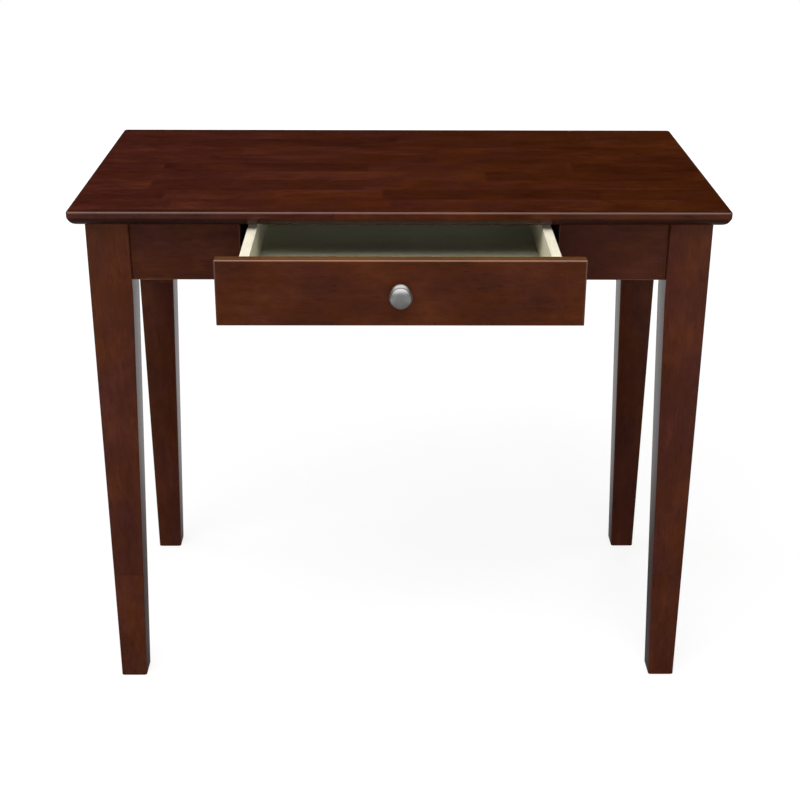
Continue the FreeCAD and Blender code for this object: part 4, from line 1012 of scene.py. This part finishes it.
rings = [head_ring(radius, rise) for radius, rise in HEAD_PROFILE]
screw_head = stacked("screw_head", rings, [0.0] * len(rings))
rings = [shank_ring(radius, rise) for radius, rise in SHANK_PROFILE]
screw_shank = stacked("screw_shank", rings, [0.0] * len(rings))
print("screw head", len(screw_head.data.polygons), "faces")

# %% [markdown]
# The tree puts a head and a shank on every seat, turns them to the way that the screw faces, and
# gives each a chance turn of its own, as screws end up in life. A fixed seed keeps the turns the
# same each time.

# %% Tree that sets screws
setter, given, setter_names = geometry_tree(
    "set_screws",
    [
        ("Seats", "NodeSocketGeometry"), ("Head", "NodeSocketObject"), ("Shank", "NodeSocketObject"),
        ("Head Size", ARROW), ("Shank Size", ARROW), ("Finish", "NodeSocketMaterial"),
        ("Seed", "NodeSocketInt"),
    ],
)
named = {"data_type": "FLOAT_VECTOR"}
facing = add(setter, "GeometryNodeInputNamedAttribute", named, {"Name": "facing"}).outputs[0]
upright = {"axis": "Z"}
turn = add(setter, "FunctionNodeAlignRotationToVector", upright, {"Vector": facing}).outputs[0]
chance = add(setter, "FunctionNodeRandomValue", {"data_type": "FLOAT"}, {"Seed": given["Seed"]})
chance.inputs[3].default_value = 2 * math.pi
inputs = {"Axis": (0, 0, 1), "Angle": chance.outputs[1]}
spin = add(setter, "FunctionNodeAxisAngleToRotation", None, inputs).outputs[0]
local = {"rotation_space": "LOCAL"}
twist = add(setter, "FunctionNodeRotateRotation", local, {0: turn, 1: spin}).outputs[0]
join = setter.nodes.new("GeometryNodeJoinGeometry")
for label in ("Head", "Shank"):
    blank = add(setter, "GeometryNodeObjectInfo", None, {"Object": given[label]}).outputs["Geometry"]
    inputs = {
        "Points": given["Seats"], "Instance": blank, "Rotation": twist,
        "Scale": given[f"{label} Size"],
    }
    placed = add(setter, "GeometryNodeInstanceOnPoints", None, inputs).outputs[0]
    setter.links.new(placed, join.inputs[0])
close_tree(setter, join.outputs[0], given["Finish"])

# %% [markdown]
# The seats come from the engineering model, so that every screw stays in its hole. A merged copy
# of the screws falls apart into loose parts, and each part is one screw. Its longest side is its
# line, its wide end is the head, and the head's inner level is the seat.

# %% Measure the screws
MERGE_WITHIN = 1e-6
LEVEL_DIGITS = 5


def loose_parts(node):
    """The points of each loose part in a merged copy of a node's mesh."""
    copy = bmesh.new()
    copy.from_mesh(nodes[node].data)
    bmesh.ops.remove_doubles(copy, verts=copy.verts, dist=MERGE_WITHIN)
    waiting = set(copy.verts)
    parts = []
    while waiting:
        group, edge_of = [], [waiting.pop()]
        while edge_of:
            corner = edge_of.pop()
            group.append(corner.co.copy())
            near = {edge.other_vert(corner) for edge in corner.link_edges} & waiting
            waiting -= near
            edge_of += near
        parts.append(group)
    copy.free()
    return parts


def measure_screw(points):
    """Where a screw's head seats, the way that its head faces, and its four sizes."""
    low = Vector([min(point[i] for point in points) for i in range(3)])
    high = Vector([max(point[i] for point in points) for i in range(3)])
    size = high - low
    line = max(range(3), key=lambda i: size[i])
    middle = (low + high) / 2
    reach = {}
    for point in points:
        away = point - middle
        away[line] = 0.0
        level = round(point[line], LEVEL_DIGITS)
        reach[level] = max(reach.get(level, 0.0), away.length)
    levels = sorted(reach)
    head_up = reach[levels[-1]] > reach[levels[0]]
    if not head_up:
        levels.reverse()
    outer, seat, tip = levels[-1], levels[-2], levels[0]
    facing = Vector((0, 0, 0))
    facing[line] = 1.0 if head_up else -1.0
    middle[line] = seat
    return middle, facing, reach[outer], abs(outer - seat), reach[tip], abs(seat - tip)


print("rail screws:", len(loose_parts("rail_screws")))

# %% [markdown]
# Each kind of screw is now one call. The blanks aren't pieces of the desk, so they go when the
# last screw is set.

# %% Set the screws
SCREW_SETS = (
    # piece, node, body that carries it
    ("block_screw_set", "corner_block_screws", "desk"),
    ("top_screw_set", "desk_top_screws", "desk"),
    ("rail_screw_set", "rail_screws", "desk"),
    ("fixed_slide_screw_set", "fixed_slide_screws", "desk"),
    ("moving_slide_screw_set", "moving_slide_screws", "drawer"),
    ("panel_screw_set", "drawer_bottom_screws", "drawer"),
)


def set_screws(name, node, body, seed):
    measured = [measure_screw(part) for part in loose_parts(node)]
    seats = bpy.data.meshes.new(f"{name}_seats")
    seats.from_pydata([row[0] for row in measured], [], [])
    faces = seats.attributes.new("facing", "FLOAT_VECTOR", "POINT")
    for mark, row in zip(faces.data, measured):
        mark.vector = row[1]
    _, _, head_radius, head_height, shank_radius, shank_length = measured[0]
    values = {
        "Head": screw_head, "Shank": screw_shank, "Finish": zinc, "Seed": seed,
        "Head Size": (head_radius, head_radius, head_height),
        "Shank Size": (shank_radius, shank_radius, shank_length),
    }
    piece = grown(name, seats, setter, setter_names, values)
    stands_for(piece, zinc, body, "zinc_steel", node)
    print(name, len(measured), "screws", len(piece.data.polygons), "faces")


for seed, (name, node, body) in enumerate(SCREW_SETS, 1):
    set_screws(name, node, body, seed)
for blank in (screw_head, screw_shank):
    bpy.data.objects.remove(blank)
